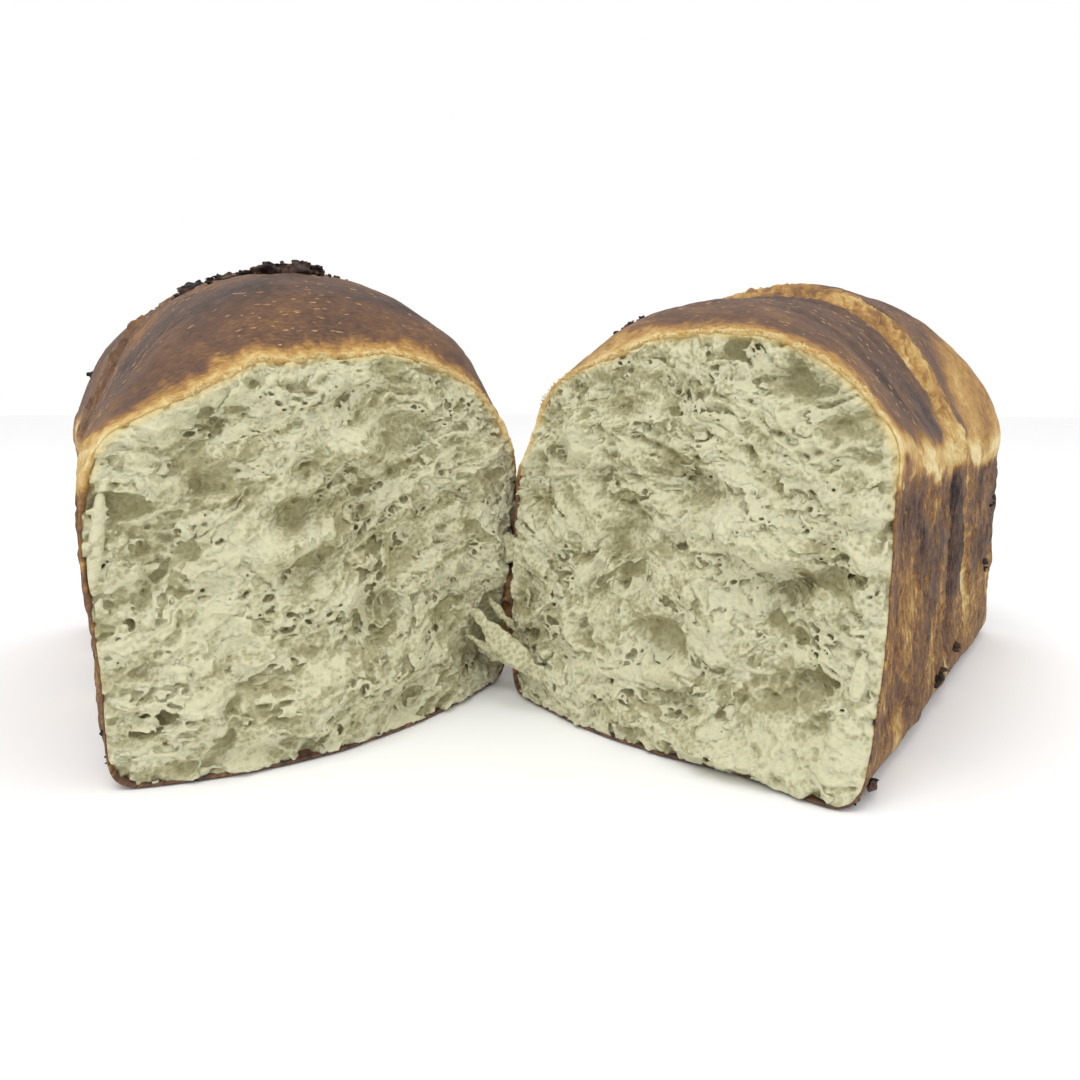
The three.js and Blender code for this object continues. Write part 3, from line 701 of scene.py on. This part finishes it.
# %% [markdown]
# ## The torn crumb
# Torn crumb is a foam: bubbles of many sizes, opened where the tear ran through them, with thin walls
# and ragged shreds left standing. A volume gets this right: it starts as a slab whose front has the tear's
# relief, hundreds of bubbles are carved out of it, and OpenVDB draws a surface round what is left.

# %% A block of space that dough is added to and bubbles are carved out of
FAR = 2.0  # millimetres; no distance beyond this is kept
MERGING = 0.1  # how readily OpenVDB merges the faces of nearly flat places, from 0 to 1


class Dough:
    """A grid of distances in millimetres, negative inside the dough."""
    def __init__(self, low, high, voxel):
        self.voxel = voxel
        self.axes = [np.arange(a, b, voxel) for a, b in zip(low, high)]
        self.field = np.full([len(axis) for axis in self.axes], FAR, np.float32)

    def ball(self, centre, radii, frame=None, carve=False):
        """Adds or carves an ellipsoid. The rows of frame are the directions of its three radii."""
        reach = max(radii) + self.voxel
        spans = [np.searchsorted(axis, (c - reach, c + reach)) for axis, c in zip(self.axes, centre)]
        if any(low >= high for low, high in spans):
            return
        block = tuple(slice(low, high) for low, high in spans)
        x, y, z = (axis[part] - c for axis, part, c in zip(self.axes, block, centre))
        x, y, z = x[:, None, None], y[None, :, None], z[None, None, :]
        if frame is None:
            far = np.sqrt((x / radii[0]) ** 2 + (y / radii[1]) ** 2 + (z / radii[2]) ** 2)
        else:
            far = np.sqrt(sum(((x * f[0] + y * f[1] + z * f[2]) / r) ** 2 for f, r in zip(frame, radii)))
        distance = (far - 1) * min(radii)
        if carve:
            self.field[block] = np.maximum(self.field[block], -distance)
        else:
            self.field[block] = np.minimum(self.field[block], distance)

    def surface(self, smallest=None):
        """The points of the dough's surface in millimetres, and its triangles, facing outwards."""
        grid = openvdb.FloatGrid(FAR)
        grid.copyFromArray(np.clip(self.field, -FAR, FAR).astype(np.float32))
        points, triangles, squares = grid.convertToPolygons(isovalue=0.0, adaptivity=MERGING)
        triangles = np.concatenate([triangles, squares[:, [0, 1, 2]], squares[:, [0, 2, 3]]])
        points, triangles = keep_connected(points, triangles, smallest)
        low = np.array([axis[0] for axis in self.axes])
        return low + points * self.voxel, triangles


# %% Where the tear's surface lies, from broad crags down to fibres
# In a torn face's own frame, u and z are those of the half, and w is how far a point lies behind the tear.
SLAB_FRONT, SLAB_BACK, SET_BACK, RELIEF_FADE = -12, 7.0, 0.6, 6
LEFT.streak, RIGHT.streak = -24, -12  # degrees by which the fibres of the crumb slope
for half in (LEFT, RIGHT):
    half.edge_angles = np.linspace(BOTTOM_ANGLE, BOTTOM_ANGLE + TURN, 721)
    half.edge_places = tear_edge(half, half.edge_angles)


def inside_crust(half, u, z):
    """How far a point of the tear lies inside the crust, in millimetres."""
    centred = u - CENTRE_U
    for _ in range(3):
        angle = np.arctan2(z - CORE_HEIGHT, centred)
        angle = np.where(angle < BOTTOM_ANGLE, angle + TURN, angle)
        edge = np.interp(angle, half.edge_angles, half.edge_places)
        centred = u - CENTRE_U - side_shift(half, angle, edge, z)
    return crust_radius(half, angle, edge) - np.hypot(centred, z - CORE_HEIGHT)


def streaked(half, u, z):
    """The same place measured along the fibres of the crumb and across them."""
    c, s = turned(half.streak)
    along, cross, seed = u * c + z * s, z * c - u * s, half.seed + 60
    for far, size in ((5, 22), (1.5, 7)):
        along = along + far * noise(u / size, z / size, seed)
        cross = cross + far * noise(u / size + 7, z / size, seed + 1)
        seed += 2
    return along, cross


def terrace(field, sharpness):
    """A step with a ragged edge wherever the field passes nought."""
    return smooth(0.5 + field / sharpness) - 0.5


def broad_relief(half, u, z):
    """The depth of the large holes and crags, the same as in the solid."""
    depth = 1.6 * noise(u / 8, z / 8, half.side) + 0.9 * noise(u / 4.2, z / 4.2, half.side + 7)
    for crag_u, crag_z, wide, tall, tilt, deep in half.crags:
        c, s = turned(tilt)
        wobble = 1 + 0.35 * rough(u / 6, z / 6, half.seed + 61)
        du, dz = u - crag_u, z - crag_z
        reach = (((du * c + dz * s) / wide) ** 2 + ((dz * c - du * s) / tall) ** 2) * wobble
        depth = depth + deep * np.exp(-(reach ** 1.6))
    return depth


def fading_relief(half, u, z, inside):
    """The same relief, but level where it meets the crust."""
    return smooth(inside / RELIEF_FADE) * broad_relief(half, u, z)


def foam(half, u, z, size, seed):
    """Open cells with thin walls: 0 on a wall, up to 1 at the bottom of a deep cell."""
    along, cross = streaked(half, u, z)
    along = along + 0.9 * size * rough(u / (2.2 * size), z / (2.2 * size), seed + 40, 2)
    cross = cross + 0.9 * size * rough(u / (2.2 * size), z / (2.2 * size), seed + 41, 2)
    near, second, own = cells(along / (1.35 * size), cross / size, seed)
    return smooth((second - near) / 0.6) * own


def fine_relief(half, u, z):
    """The depth of terraces, fibres and three sizes of open cells."""
    along, cross = streaked(half, u, z)
    depth = 1.3 * terrace(rough(along / 13, cross / 7, half.seed + 62, 5, 0.6), 0.3)
    depth = depth + 0.9 * terrace(rough(along / 7, cross / 4, half.seed + 63, 4, 0.6), 0.3)
    depth = depth + 0.4 * rough(along / 3.2, cross / 1.5, half.seed + 64, 2)
    for number, (deep, size) in enumerate(((2.0, 6.0), (1.5, 3.2), (1.0, 1.7))):
        depth = depth + deep * foam(half, u, z, size, half.seed + 66 + number)
    return depth - 1.6


# %% Carve the bubbles and draw what is left
# Each row is how many bubbles, the smallest and largest radius, how long they may be drawn out, and how far
# from the torn surface their middles lie, as shares of their radius.
LEFT.bubbles = [(36, 2.0, 4.2, 2.0, -0.8, -0.15), (110, 1.0, 2.0, 2.2, -0.9, -0.4)]
RIGHT.bubbles = [(44, 2.0, 4.8, 1.8, -0.8, -0.15), (130, 1.0, 2.1, 1.8, -0.9, -0.4)]


def add_bubbles(half, dough, rng, rows, surface, inside):
    """Carves rows of bubbles near a surface that is given on the grid's first two axes."""
    u, z, _ = dough.axes
    for count, low, high, longest, front, back in rows:
        for _ in range(count):
            i, j = rng.integers(len(u)), rng.integers(len(z))
            size = low * (high / low) ** (rng.random() ** 1.6)
            stretch, squeeze = rng.uniform(1, longest), rng.uniform(0.65, 1.0)
            turn, lean, depth = rng.normal(0, 0.4), rng.normal(0, 0.35), rng.uniform(front, back)
            if inside[i, j] < size * squeeze + 0.9:
                continue
            tilt = math.radians(half.streak) + turn
            c, s = math.cos(tilt), math.sin(tilt)
            frame = ((c, s, 0), (-s, c, lean), (lean * s, -lean * c, 1))
            centre = (u[i], z[j], surface[i, j] + depth * size)
            dough.ball(centre, (size * stretch, size * squeeze, size * 0.9), frame, carve=True)


CRUMB_VOXEL = 0.57
SPACE_LOW, SPACE_HIGH = (-5, -1.5), (117, 112)
SKIN_GAP, FLOOR_GAP, THINNEST_SLAB = 0.45, 0.4, 1.5


def torn_space(half, front, back, voxel):
    """A block of space along the tear, its flat u and z, and how far those lie inside the crust."""
    dough = Dough((*SPACE_LOW, front), (*SPACE_HIGH, back), voxel)
    u, z = np.meshgrid(*dough.axes[:2], indexing="ij")
    return dough, u, z, inside_crust(half, u, z)


def crumb_mesh(name, half, points, triangles, painted_light=0):
    """Adds hollow, which is how far a point lies behind the broad shape of the tear, rim, how far inside the
    crust, and cloud, the streaks of lighter and darker crumb. Hollow sets the crumb's painted shade, and the
    last argument lowers it, so that the piece is painted paler, as crumb that stands in the light."""
    u, z, w = points.T
    rim = inside_crust(half, u, z)
    broad = SET_BACK + fading_relief(half, u, z, rim)
    rim = rim + 1.8 * (1 - ramp(z, 55, 15))
    along, cross = streaked(half, u, z)
    cloud = 0.5 * rough(u / 14, z / 9, half.seed + 80) + 0.8 * rough(along / 7, cross / 2.2, half.seed + 81)
    attributes = {"hollow": w - 0.7 * broad - painted_light, "rim": rim, "cloud": cloud}
    if half.side > 0:
        triangles = triangles[:, ::-1]
    return mesh_piece(name, placed(half, u, tear_depth(half, u, z) + w, z), triangles, attributes)


def crumb_piece(half):
    rng = np.random.default_rng(half.seed)
    dough, u, z, inside = torn_space(half, SLAB_FRONT, SLAB_BACK + THINNEST_SLAB, CRUMB_VOXEL)
    w = dough.axes[2]
    broad = SET_BACK + fading_relief(half, u, z, inside)
    relief = broad + smooth(inside / 1.6 + 0.35) * fine_relief(half, u, z)
    relief = np.minimum(relief, SLAB_BACK - THINNEST_SLAB)
    dough.field = np.maximum(relief[:, :, None] - w, w - SLAB_BACK + 0 * relief[:, :, None])
    for outside in (SKIN_GAP - inside, FLOOR_GAP - z):
        dough.field = np.maximum(dough.field, outside[:, :, None])
    add_bubbles(half, dough, rng, half.bubbles, relief, inside)
    return crumb_mesh(f"crumb_{half.name}", half, *dough.surface())


crumbs = [crumb_piece(half) for half in (LEFT, RIGHT)]

# %% [markdown]
# ## Shreds of crumb
# Where the tear jumped from one layer of bubbles to the next it left thin ragged sheets, still joined to
# the crumb at one side. Each is a thin wavy surface that dips into the crumb, cut along a ragged line.

# %% Thin torn sheets in front of the crumb
# Lips that stand out by themselves: middle u, z and w, half sizes, and tilt in degrees.
LEFT.flaps = [((110.0, 55, 0.2), (1.6, 12, 1.8), 4)]
RIGHT.flaps = [((104.5, 25, -0.6), (1.8, 5.5, 1.0), -8)]
# The third number is painted light: it lowers the shreds' hollow, so they are painted paler than the crumb
# behind them.
LAYERS, SMALLEST_SHRED, SHREDS_PAINTED_LIGHT = 3, 220, 1.6
SHRED_VOXEL = 0.57


def shred_piece(half):
    dough, u, z, inside = torn_space(half, SLAB_FRONT - 1, SLAB_BACK, SHRED_VOXEL)
    w = dough.axes[2]
    along, cross = streaked(half, u, z)
    broad = fading_relief(half, u, z, inside)
    body = SET_BACK + broad + smooth(inside / RELIEF_FADE) * fine_relief(half, u, z)
    for centre, radii, tilt in half.flaps:
        c, s = turned(tilt)
        dough.ball(centre, radii, ((c, s, 0), (-s, c, 0), (0, 0, 1)))
    for layer in range(LAYERS):
        seed = half.seed + 70 + 5 * layer
        sheet = broad + 0.1 + 2.0 * rough(along / 15, cross / 8, seed, 2)
        sheet = sheet + 0.5 * rough(along / 3, cross / 1.6, seed + 1)
        sheet = sheet + 0.9 * foam(half, u, z, 3.0, seed + 3)
        # Kept where its torn outline says so, near the crumb's surface and inside the crust
        ahead = body - sheet
        torn = rough(along / 9, cross / 5, seed + 2, 5, 0.68)
        keep = np.minimum.reduce([5.0 * (torn - 0.10), 1.35 - ahead, ahead + 0.9, inside - 1.2])
        thick = 0.28 + np.clip(2.0 * keep, 0, 2.4) + 0.10 * rough(along / 2, cross / 2, seed + 3)
        behind = w - sheet[:, :, None]
        flake = np.maximum(np.maximum(-0.3 - behind, behind - thick[:, :, None]), -keep[:, :, None])
        dough.field = np.minimum(dough.field, flake.astype(np.float32))
    return crumb_mesh(f"shreds_{half.name}", half, *dough.surface(SMALLEST_SHRED), SHREDS_PAINTED_LIGHT)


shreds = [shred_piece(half) for half in (LEFT, RIGHT)]

# %% [markdown]
# ## What still holds the halves together
# At the hinge a folded strip of side crust and a few pulled strands of crumb join the halves. They are
# made as volumes too: balls of dough set close together along a curve.

# %% A flat strand of dough along a curve through three places
def strand(dough, start, middle, end, wide, thick, flat, seed, steps=60):
    start, middle, end = (np.array(place, float) for place in (start, middle, end))
    pull = 2 * middle - (start + end) / 2
    for i in range(1, steps):
        t = i / steps
        place = (1 - t) ** 2 * start + 2 * t * (1 - t) * pull + t ** 2 * end
        along = 2 * (1 - t) * (pull - start) + 2 * t * (end - pull)
        step = np.linalg.norm(along) / steps
        along = along / np.linalg.norm(along)
        across = np.cross(along, flat)
        across /= np.linalg.norm(across)
        out = np.cross(across, along)
        girth = math.sin(math.pi * t) ** 0.6 * (1 + 0.35 * float(noise(t * 9, 0, seed)))
        place = place + 0.12 * wide * float(noise(t * 14, 5, seed)) * across
        radii = (step * 2.2, max(wide * girth, 0.4), max(thick * girth, 0.35))
        dough.ball(place, radii, (along, across, out))


def torn_place(half, u, z, ahead=0.0):
    """A place on the torn face, in millimetres of the loaf's frame."""
    return placed(half, u, float(tear_depth(half, u, z)) - ahead, z) * 1000


def roughen(dough, depth, size, seed):
    """Moves the dough's surface in and out."""
    x, y, z = dough.axes
    side = rough(x[:, None] / size, z[None, :] / size, seed, 2)[:, None, :]
    front = rough(y[:, None] / size, z[None, :] / size, seed + 1, 2)[None, :, :]
    dough.field += (depth * (side + front)).astype(np.float32)


# %% Strands of crumb across the hinge
HINGE_MIDDLE = (HINGE[0] + RIGHT.offset[0] / 2, HINGE[1] + RIGHT.offset[1] / 2)
TOWARDS_VIEWER = (0, -1, 0.2)
STRAND_VOXEL, FOLD_VOXEL, BURNT_VOXEL = 0.5, 0.6, 0.45
dough = Dough((-30, -62, 0.3), (34, -8, 60), STRAND_VOXEL)
STRANDS = [  # left u, z and right u, z of its ends, how far its middle stands out, half width and thickness
    (19.5, 26.5, 21.0, 9.5, 5.0, 2.5, 1.0), (13.5, 29, 5.5, 17.5, 1.0, 1.2, 0.6),
    (22, 19, 25, 8.0, 0.5, 1.5, 0.9), (12, 45, 13, 40, -4.5, 4.5, 2.0), (16, 12, 12, 13, -3.5, 3.6, 1.4)]
for number, (left_u, left_z, right_u, right_z, ahead, wide, thick) in enumerate(STRANDS):
    ends = torn_place(LEFT, left_u, left_z, -0.5), torn_place(RIGHT, right_u, right_z, -0.5)
    halfway = (ends[0] + ends[1]) / 2 + (0, -ahead, -0.5)
    strand(dough, ends[0], halfway, ends[1], wide, thick, TOWARDS_VIEWER, 5 + number)
web = torn_place(RIGHT, 4.6, 18.7, 1.5), torn_place(RIGHT, 10, 23, 2.5), torn_place(RIGHT, 16, 28.5, 0.5)
strand(dough, *web, 1.2, 0.8, TOWARDS_VIEWER, 17)
roughen(dough, 0.12, 1.4, 90)
points, triangles = dough.surface(smallest=300)
# A hollow of -0.6 is painted light: it paints the strands pale, as crumb that stands in the light.
same = {key: np.full(len(points), value) for key, value in (("hollow", -0.6), ("rim", 5), ("cloud", 0))}
strands = mesh_piece("strands", points / 1000, triangles, same)

# %% The folded strip of side crust behind them
dough = Dough((-16, -44, 0.3), (22, -4, 80), FOLD_VOXEL)
x, y = HINGE_MIDDLE
strand(dough, (x - 1, y + 5, 6), (x + 0.5, y + 3, 34), (x + 1.5, y + 5, 64), 8, 4.0, (1, 0, 0), 4)
roughen(dough, 0.35, 2.5, 95)
points, triangles = dough.surface()
fold_bake = np.clip(0.52 + 0.2 * rough(points[:, 0] / 5, points[:, 2] / 9, 97), 0, 1)
hinge_crust = mesh_piece("hinge_crust", points / 1000, triangles, {"bake": fold_bake, "place": points})

# %% [markdown]
# ## Burnt bits
# Drops of dough and sugar burnt black: a crunchy ridge over the left crown, and drips along the tin's
# line and under the near right corner. Each is a heap of small balls, roughened.

# %% Heaps of burnt drops along a line on the crust
BURNT_MARGIN = 7


def burnt_piece(name, half, rows, seed):
    """Each row: first and last angle, first and last v, how many, smallest and largest radius, sunk share."""
    rng = np.random.default_rng(seed)
    balls = []
    for angle_a, angle_b, v_a, v_b, count, low, high, sunk in rows:
        for i in range(count):
            t = (i + rng.uniform(-0.4, 0.4)) / max(count - 1, 1)
            angle = math.radians(mix(angle_a, angle_b, t) + rng.normal(0, 0.6))
            v, size = mix(v_a, v_b, t) + rng.normal(0, 1.2), rng.uniform(low, high)
            u, along, z = crust_point(half, np.array([angle]), np.array([v]), size * (1 - sunk) - size * 0.4)
            balls.append((placed(half, u, along, z)[0] * 1000, size))
    places = np.array([place for place, _ in balls])
    low = places.min(axis=0) - BURNT_MARGIN
    low[2] = max(low[2], -0.8)
    dough = Dough(low, places.max(axis=0) + BURNT_MARGIN, BURNT_VOXEL)
    for place, size in balls:
        directions = np.linalg.qr(rng.normal(size=(3, 3)))[0]
        dough.ball(place, size * rng.uniform((0.9, 0.6, 0.3), (1.5, 1.1, 0.6)), directions)
    roughen(dough, 0.35, 1.2, seed)
    dough.field = np.maximum(dough.field, 0.2 - dough.axes[2])
    points, triangles = dough.surface(smallest=24)
    bake = np.clip(0.94 + 0.30 * rough(points[:, 0] / 4, points[:, 2] / 3 + points[:, 1] / 4, seed), 0, 1)
    return mesh_piece(name, points / 1000, triangles, {"bake": bake, "place": points})


ridge_rows = [
    (79, 88, 48, 45, 40, 1.4, 3.0, 0.2), (76, 92, 49, 44, 40, 0.8, 1.8, 0.2),
    (62, 72, 59, 53, 34, 0.8, 1.7, 0.3), (63, 66, 60, 58, 9, 1.2, 2.0, 0.2),
    (72, 78, 53, 50, 12, 0.6, 1.4, 0.3), (40, 41, 124, 125, 4, 0.8, 1.4, 0.2),
    (60, 104, 61, 60, 50, 0.7, 1.5, 0.3), (-42, -38, -2, 6, 5, 0.6, 1.1, 0.3)]
drip_rows = [
    (-46, -51, -4, -4, 16, 0.9, 2.0, 0.2), (-42, -44, -2, 3, 6, 0.6, 1.2, 0.3),
    (-40, -39, 60, 65, 7, 0.6, 1.3, 0.3), (-36, -36, 82, 85, 5, 0.6, 1.2, 0.3),
    (-4, 2, 140, 146, 5, 0.6, 1.1, 0.3), (-20, -24, 128, 134, 5, 0.6, 1.2, 0.3),
    (108, 120, 30, 26, 12, 0.5, 1.1, 0.4)]
burnt = [burnt_piece("burnt_ridge", LEFT, ridge_rows, 201), burnt_piece("burnt_drips", RIGHT, drip_rows, 202)]

# %% [markdown]
# ## Finishes
# Crust goes from pale yellow over gold and chestnut to nearly black. The grid's bake value says where;
# the shader adds fine mottling, and streaks that follow the dome's arc. The crumb has painted light and shade:
# it is painted paler where it stands out and darker in its hollows and small cells.

# %% The crust's finish
def crust_paint():
    paint = Paint("baked_crust")
    place = paint.attribute("place", 1)
    bake = paint.attribute("bake")
    height = paint.node("ShaderNodeSeparateXYZ", out=2, Vector=place)
    wall = 1 - height.step(60.0, 72.0)
    streaks = paint.noise(paint.vector("MULTIPLY", place, (0.34, 2.4, 0.0)), 1.0, 2.0, 0.6)
    mottle = paint.noise(paint.object_place(), 330.0, 3.0, 0.65)
    tone = bake + (0.40 + 0.44 * wall) * (streaks - 0.5) + (0.36 + 0.3 * wall) * (mottle - 0.5)
    colour = paint.colours(tone, [
        (0.00, linear(224, 207, 157)), (0.14, linear(204, 173, 112)), (0.28, linear(176, 135, 76)),
        (0.42, linear(140, 103, 64)), (0.58, linear(109, 80, 60)), (0.72, linear(89, 67, 55)),
        (0.86, linear(66, 50, 43)), (1.00, linear(22, 14, 11))])
    relief = mottle * 0.9 + streaks * (0.7 + 0.8 * wall)
    return paint.finish(Base_Color=colour, Roughness=0.68 - 0.16 * bake, Specular_IOR_Level=0.25,
                        Normal=paint.bump(relief, 0.0010, 0.85))


crust_finish = crust_paint()
for crust in [*crusts, hinge_crust, *burnt]:
    crust.data.materials.append(crust_finish)


# %% The crumb's finish
def crumb_paint():
    paint = Paint("torn_crumb")
    spot = paint.object_place()
    hollow, rim, cloud = (paint.attribute(name) for name in ("hollow", "rim", "cloud"))
    grain = paint.noise(spot, 1100.0, 2.0, 0.65)
    net = paint.walls(paint.vector("MULTIPLY_ADD", grain, (0.0012,) * 3, spot), 820.0, 0.15)
    # Painted shade: the crumb is painted darker the further it lies behind the tear's broad surface (hollow),
    # and inside the small cells away from their walls (net). Cloud and grain are its own uneven tone. The ramp
    # runs from lit crumb to shaded crumb.
    tone = hollow.step(-3.0, 3.5) * 0.80 + 0.38 * cloud + 0.38 * (grain - 0.5) - 0.32 * net + 0.06
    colour = paint.colours(tone + 0.06, [
        (0.0, linear(203, 200, 168)), (0.3, linear(172, 167, 130)), (0.6, linear(157, 151, 112)),
        (1.0, linear(147, 140, 99))])
    warm = (1 - (rim + 2.0 * (grain - 0.5)).step(0.2, 3.2)) * 0.75
    colour = paint.blend(warm, colour, linear(208, 186, 122))
    return paint.finish(Base_Color=colour, Roughness=0.75, Subsurface_Weight=0.4,
                        Subsurface_Radius=(1.0, 0.85, 0.6), Subsurface_Scale=0.002,
                        Normal=paint.bump(grain * 0.5 + net * 0.6, 0.0007, 0.6))


crumb_finish = crumb_paint()
for crumb in [*crumbs, *shreds, strands]:
    crumb.data.materials.append(crumb_finish)

# %% Pale blisters and torn fibres have simple finishes
def speckled(name, scale, dark, light, roughness):
    paint = Paint(name)
    spots = paint.noise(paint.object_place(), scale).step(0.35, 0.65)
    return paint.finish(Base_Color=paint.blend(spots, dark, light), Roughness=roughness)


blister_finish = speckled("pale_blister", 500.0, linear(152, 112, 74), linear(192, 156, 108), 0.55)
fibre_finish = speckled("torn_fibre", 400.0, linear(216, 176, 100), linear(234, 220, 170), 0.7)

# %% [markdown]
# ## Small things in great number
# Geometry node trees scatter them. One kind sets hundreds of flat blisters into each crown, lying along
# the dome's arc. The other stands short fibres along the torn edge of each crown.

# %% Build a geometry node tree with named inputs
class Growth(Graph):
    """A geometry node tree with named inputs, whose numbers are given here."""
    def __init__(self, name, numbers):
        super().__init__(bpy.data.node_groups.new(name, "GeometryNodeTree"))
        face = self.tree.interface
        face.new_socket("Geometry", in_out="INPUT", socket_type="NodeSocketGeometry")
        for label in numbers:
            face.new_socket(label, in_out="INPUT", socket_type="NodeSocketFloat")
        face.new_socket("Geometry", in_out="OUTPUT", socket_type="NodeSocketGeometry")
        self.numbers = numbers
        self.entry = self.tree.nodes.new("NodeGroupInput")

    def given(self, label):
        return Field(self.tree, self.entry.outputs[label])

    def attribute(self, name, kind="FLOAT_VECTOR"):
        return self.node("GeometryNodeInputNamedAttribute", {"data_type": kind}, Name=name)

    def turned(self, axis, towards, settings=None, **inputs):
        """A rotation that points an axis towards a vector."""
        return self.node("FunctionNodeAlignRotationToVector", {"axis": axis, **(settings or {})},
                         Vector=towards, **inputs)

    def sizes(self, smallest, largest, seed, label):
        """Random sizes along three axes, times the input of that label."""
        size = self.node("FunctionNodeRandomValue", {"data_type": "FLOAT_VECTOR"}, Min=smallest, Max=largest,
                         Seed=seed)
        return self.node("ShaderNodeVectorMath", {"operation": "SCALE"}, Vector=size, Scale=self.given(label))

    def grown(self, name, mesh, points, instance, rotation, size, finish):
        """Sets the instance on the points, makes it real, and returns it as a plain mesh."""
        spread = self.node("GeometryNodeInstanceOnPoints", Points=points, Instance=instance,
                           Rotation=rotation, Scale=size)
        real = self.node("GeometryNodeRealizeInstances", Geometry=spread)
        soft = self.node("GeometryNodeSetShadeSmooth", Geometry=real)
        painted = self.node("GeometryNodeSetMaterial", Geometry=soft, Material=finish)
        leave = self.tree.nodes.new("NodeGroupOutput")
        self.tree.links.new(painted.socket, leave.inputs[0])
        piece = bpy.data.objects.new(name, mesh)
        bpy.context.collection.objects.link(piece)
        modifier = piece.modifiers.new(self.tree.name, "NODES")
        modifier.node_group = self.tree
        for item in self.tree.interface.items_tree:
            if item.in_out == "INPUT" and item.name in self.numbers:
                modifier[item.identifier] = self.numbers[item.name]
        evaluated = piece.evaluated_get(bpy.context.evaluated_depsgraph_get())
        plain = bpy.data.meshes.new_from_object(evaluated)
        piece.modifiers.clear()
        piece.data = plain
        if not plain.materials:
            plain.materials.append(finish)
        print(f"{name}: {len(plain.polygons)} faces")
        return piece


# %% Blisters in the crown
def blister_piece(half, crust):
    name = f"blisters_{half.name}"
    growth = Growth(name, {"Blisters per square metre": 50000.0, "Size": 1.0})
    density = growth.attribute("speckle", "FLOAT") * growth.given("Blisters per square metre")
    spread = growth.node("GeometryNodeDistributePointsOnFaces", Mesh=growth.given("Geometry"),
                         Density=density, Seed=half.seed)
    turn = growth.turned("X", growth.attribute("tangent"), {"pivot_axis": "Z"},
                         Rotation=spread.beside("Rotation"))
    size = growth.sizes((0.0003, 0.00014, 0.00006), (0.0014, 0.00032, 0.00016), half.seed + 1, "Size")
    ball = growth.node("GeometryNodeMeshIcoSphere", Radius=1.0, Subdivisions=1)
    return growth.grown(name, crust.data, spread, ball, turn, size, blister_finish)


blisters = [blister_piece(half, crust) for half, crust in zip((LEFT, RIGHT), crusts)]


# %% Fibres along the torn edge of the crown
FIBRES, FIBRE_FOOT, FIBRE_SPREAD, RIM_GAP = 900, 0.086, 0.00025, 0.01


def fringe_piece(half):
    name = f"fringe_{half.name}"
    rng = np.random.default_rng(half.seed + 5)
    rim = half.rim[half.rim[:, 2] > FIBRE_FOOT]
    # The rim's points begin at the bottom, so the row may have to be turned to run without a gap
    gaps = np.linalg.norm(np.diff(rim, axis=0), axis=1)
    rim = np.roll(rim, -(np.argmax(gaps) + 1), axis=0) if gaps.max() > RIM_GAP else rim
    share = np.sort(rng.uniform(0, len(rim) - 1.001, FIBRES))
    whole, part = share.astype(int), (share % 1)[:, None]
    points = mix(rim[whole], rim[whole + 1], part) + rng.normal(0, FIBRE_SPREAD, (FIBRES, 3))
    # They lean out of the crust and towards the viewer
    ahead = placed(half, 0, -1, 0) - placed(half, 0, 0, 0)
    out = points - placed(half, CENTRE_U, 0, CORE_HEIGHT)
    out -= (out @ ahead)[:, None] * ahead / (ahead @ ahead)
    out /= np.linalg.norm(out, axis=1)[:, None]
    lean = 0.7 * out + 0.7 * ahead / np.linalg.norm(ahead) + rng.normal(0, 0.6, (FIBRES, 3))
    mesh = bpy.data.meshes.new(name)
    mesh.from_pydata(points.tolist(), [], [])
    leans = mesh.attributes.new("lean", "FLOAT_VECTOR", "POINT")
    leans.data.foreach_set("vector", lean.astype(np.float32).ravel())
    growth = Growth(name, {"Length": 1.0})
    turn = growth.turned("Z", growth.attribute("lean"))
    size = growth.sizes((0.00010, 0.00010, 0.0003), (0.00024, 0.00024, 0.0009), half.seed + 2, "Length")
    fibre = growth.node("GeometryNodeMeshCone", Vertices=5, Radius_Top=0.3, Radius_Bottom=1.0, Depth=1.0)
    return growth.grown(name, mesh, growth.given("Geometry"), fibre, turn, size, fibre_finish)


fringes = [fringe_piece(half) for half in (LEFT, RIGHT)]

# %% Everything rides on the loaf's one body and stands for its one solid
for piece in [*crusts, *crumbs, *shreds, strands, hinge_crust, *burnt, *blisters, *fringes]:
    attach(piece, "root")
    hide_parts("loaf")
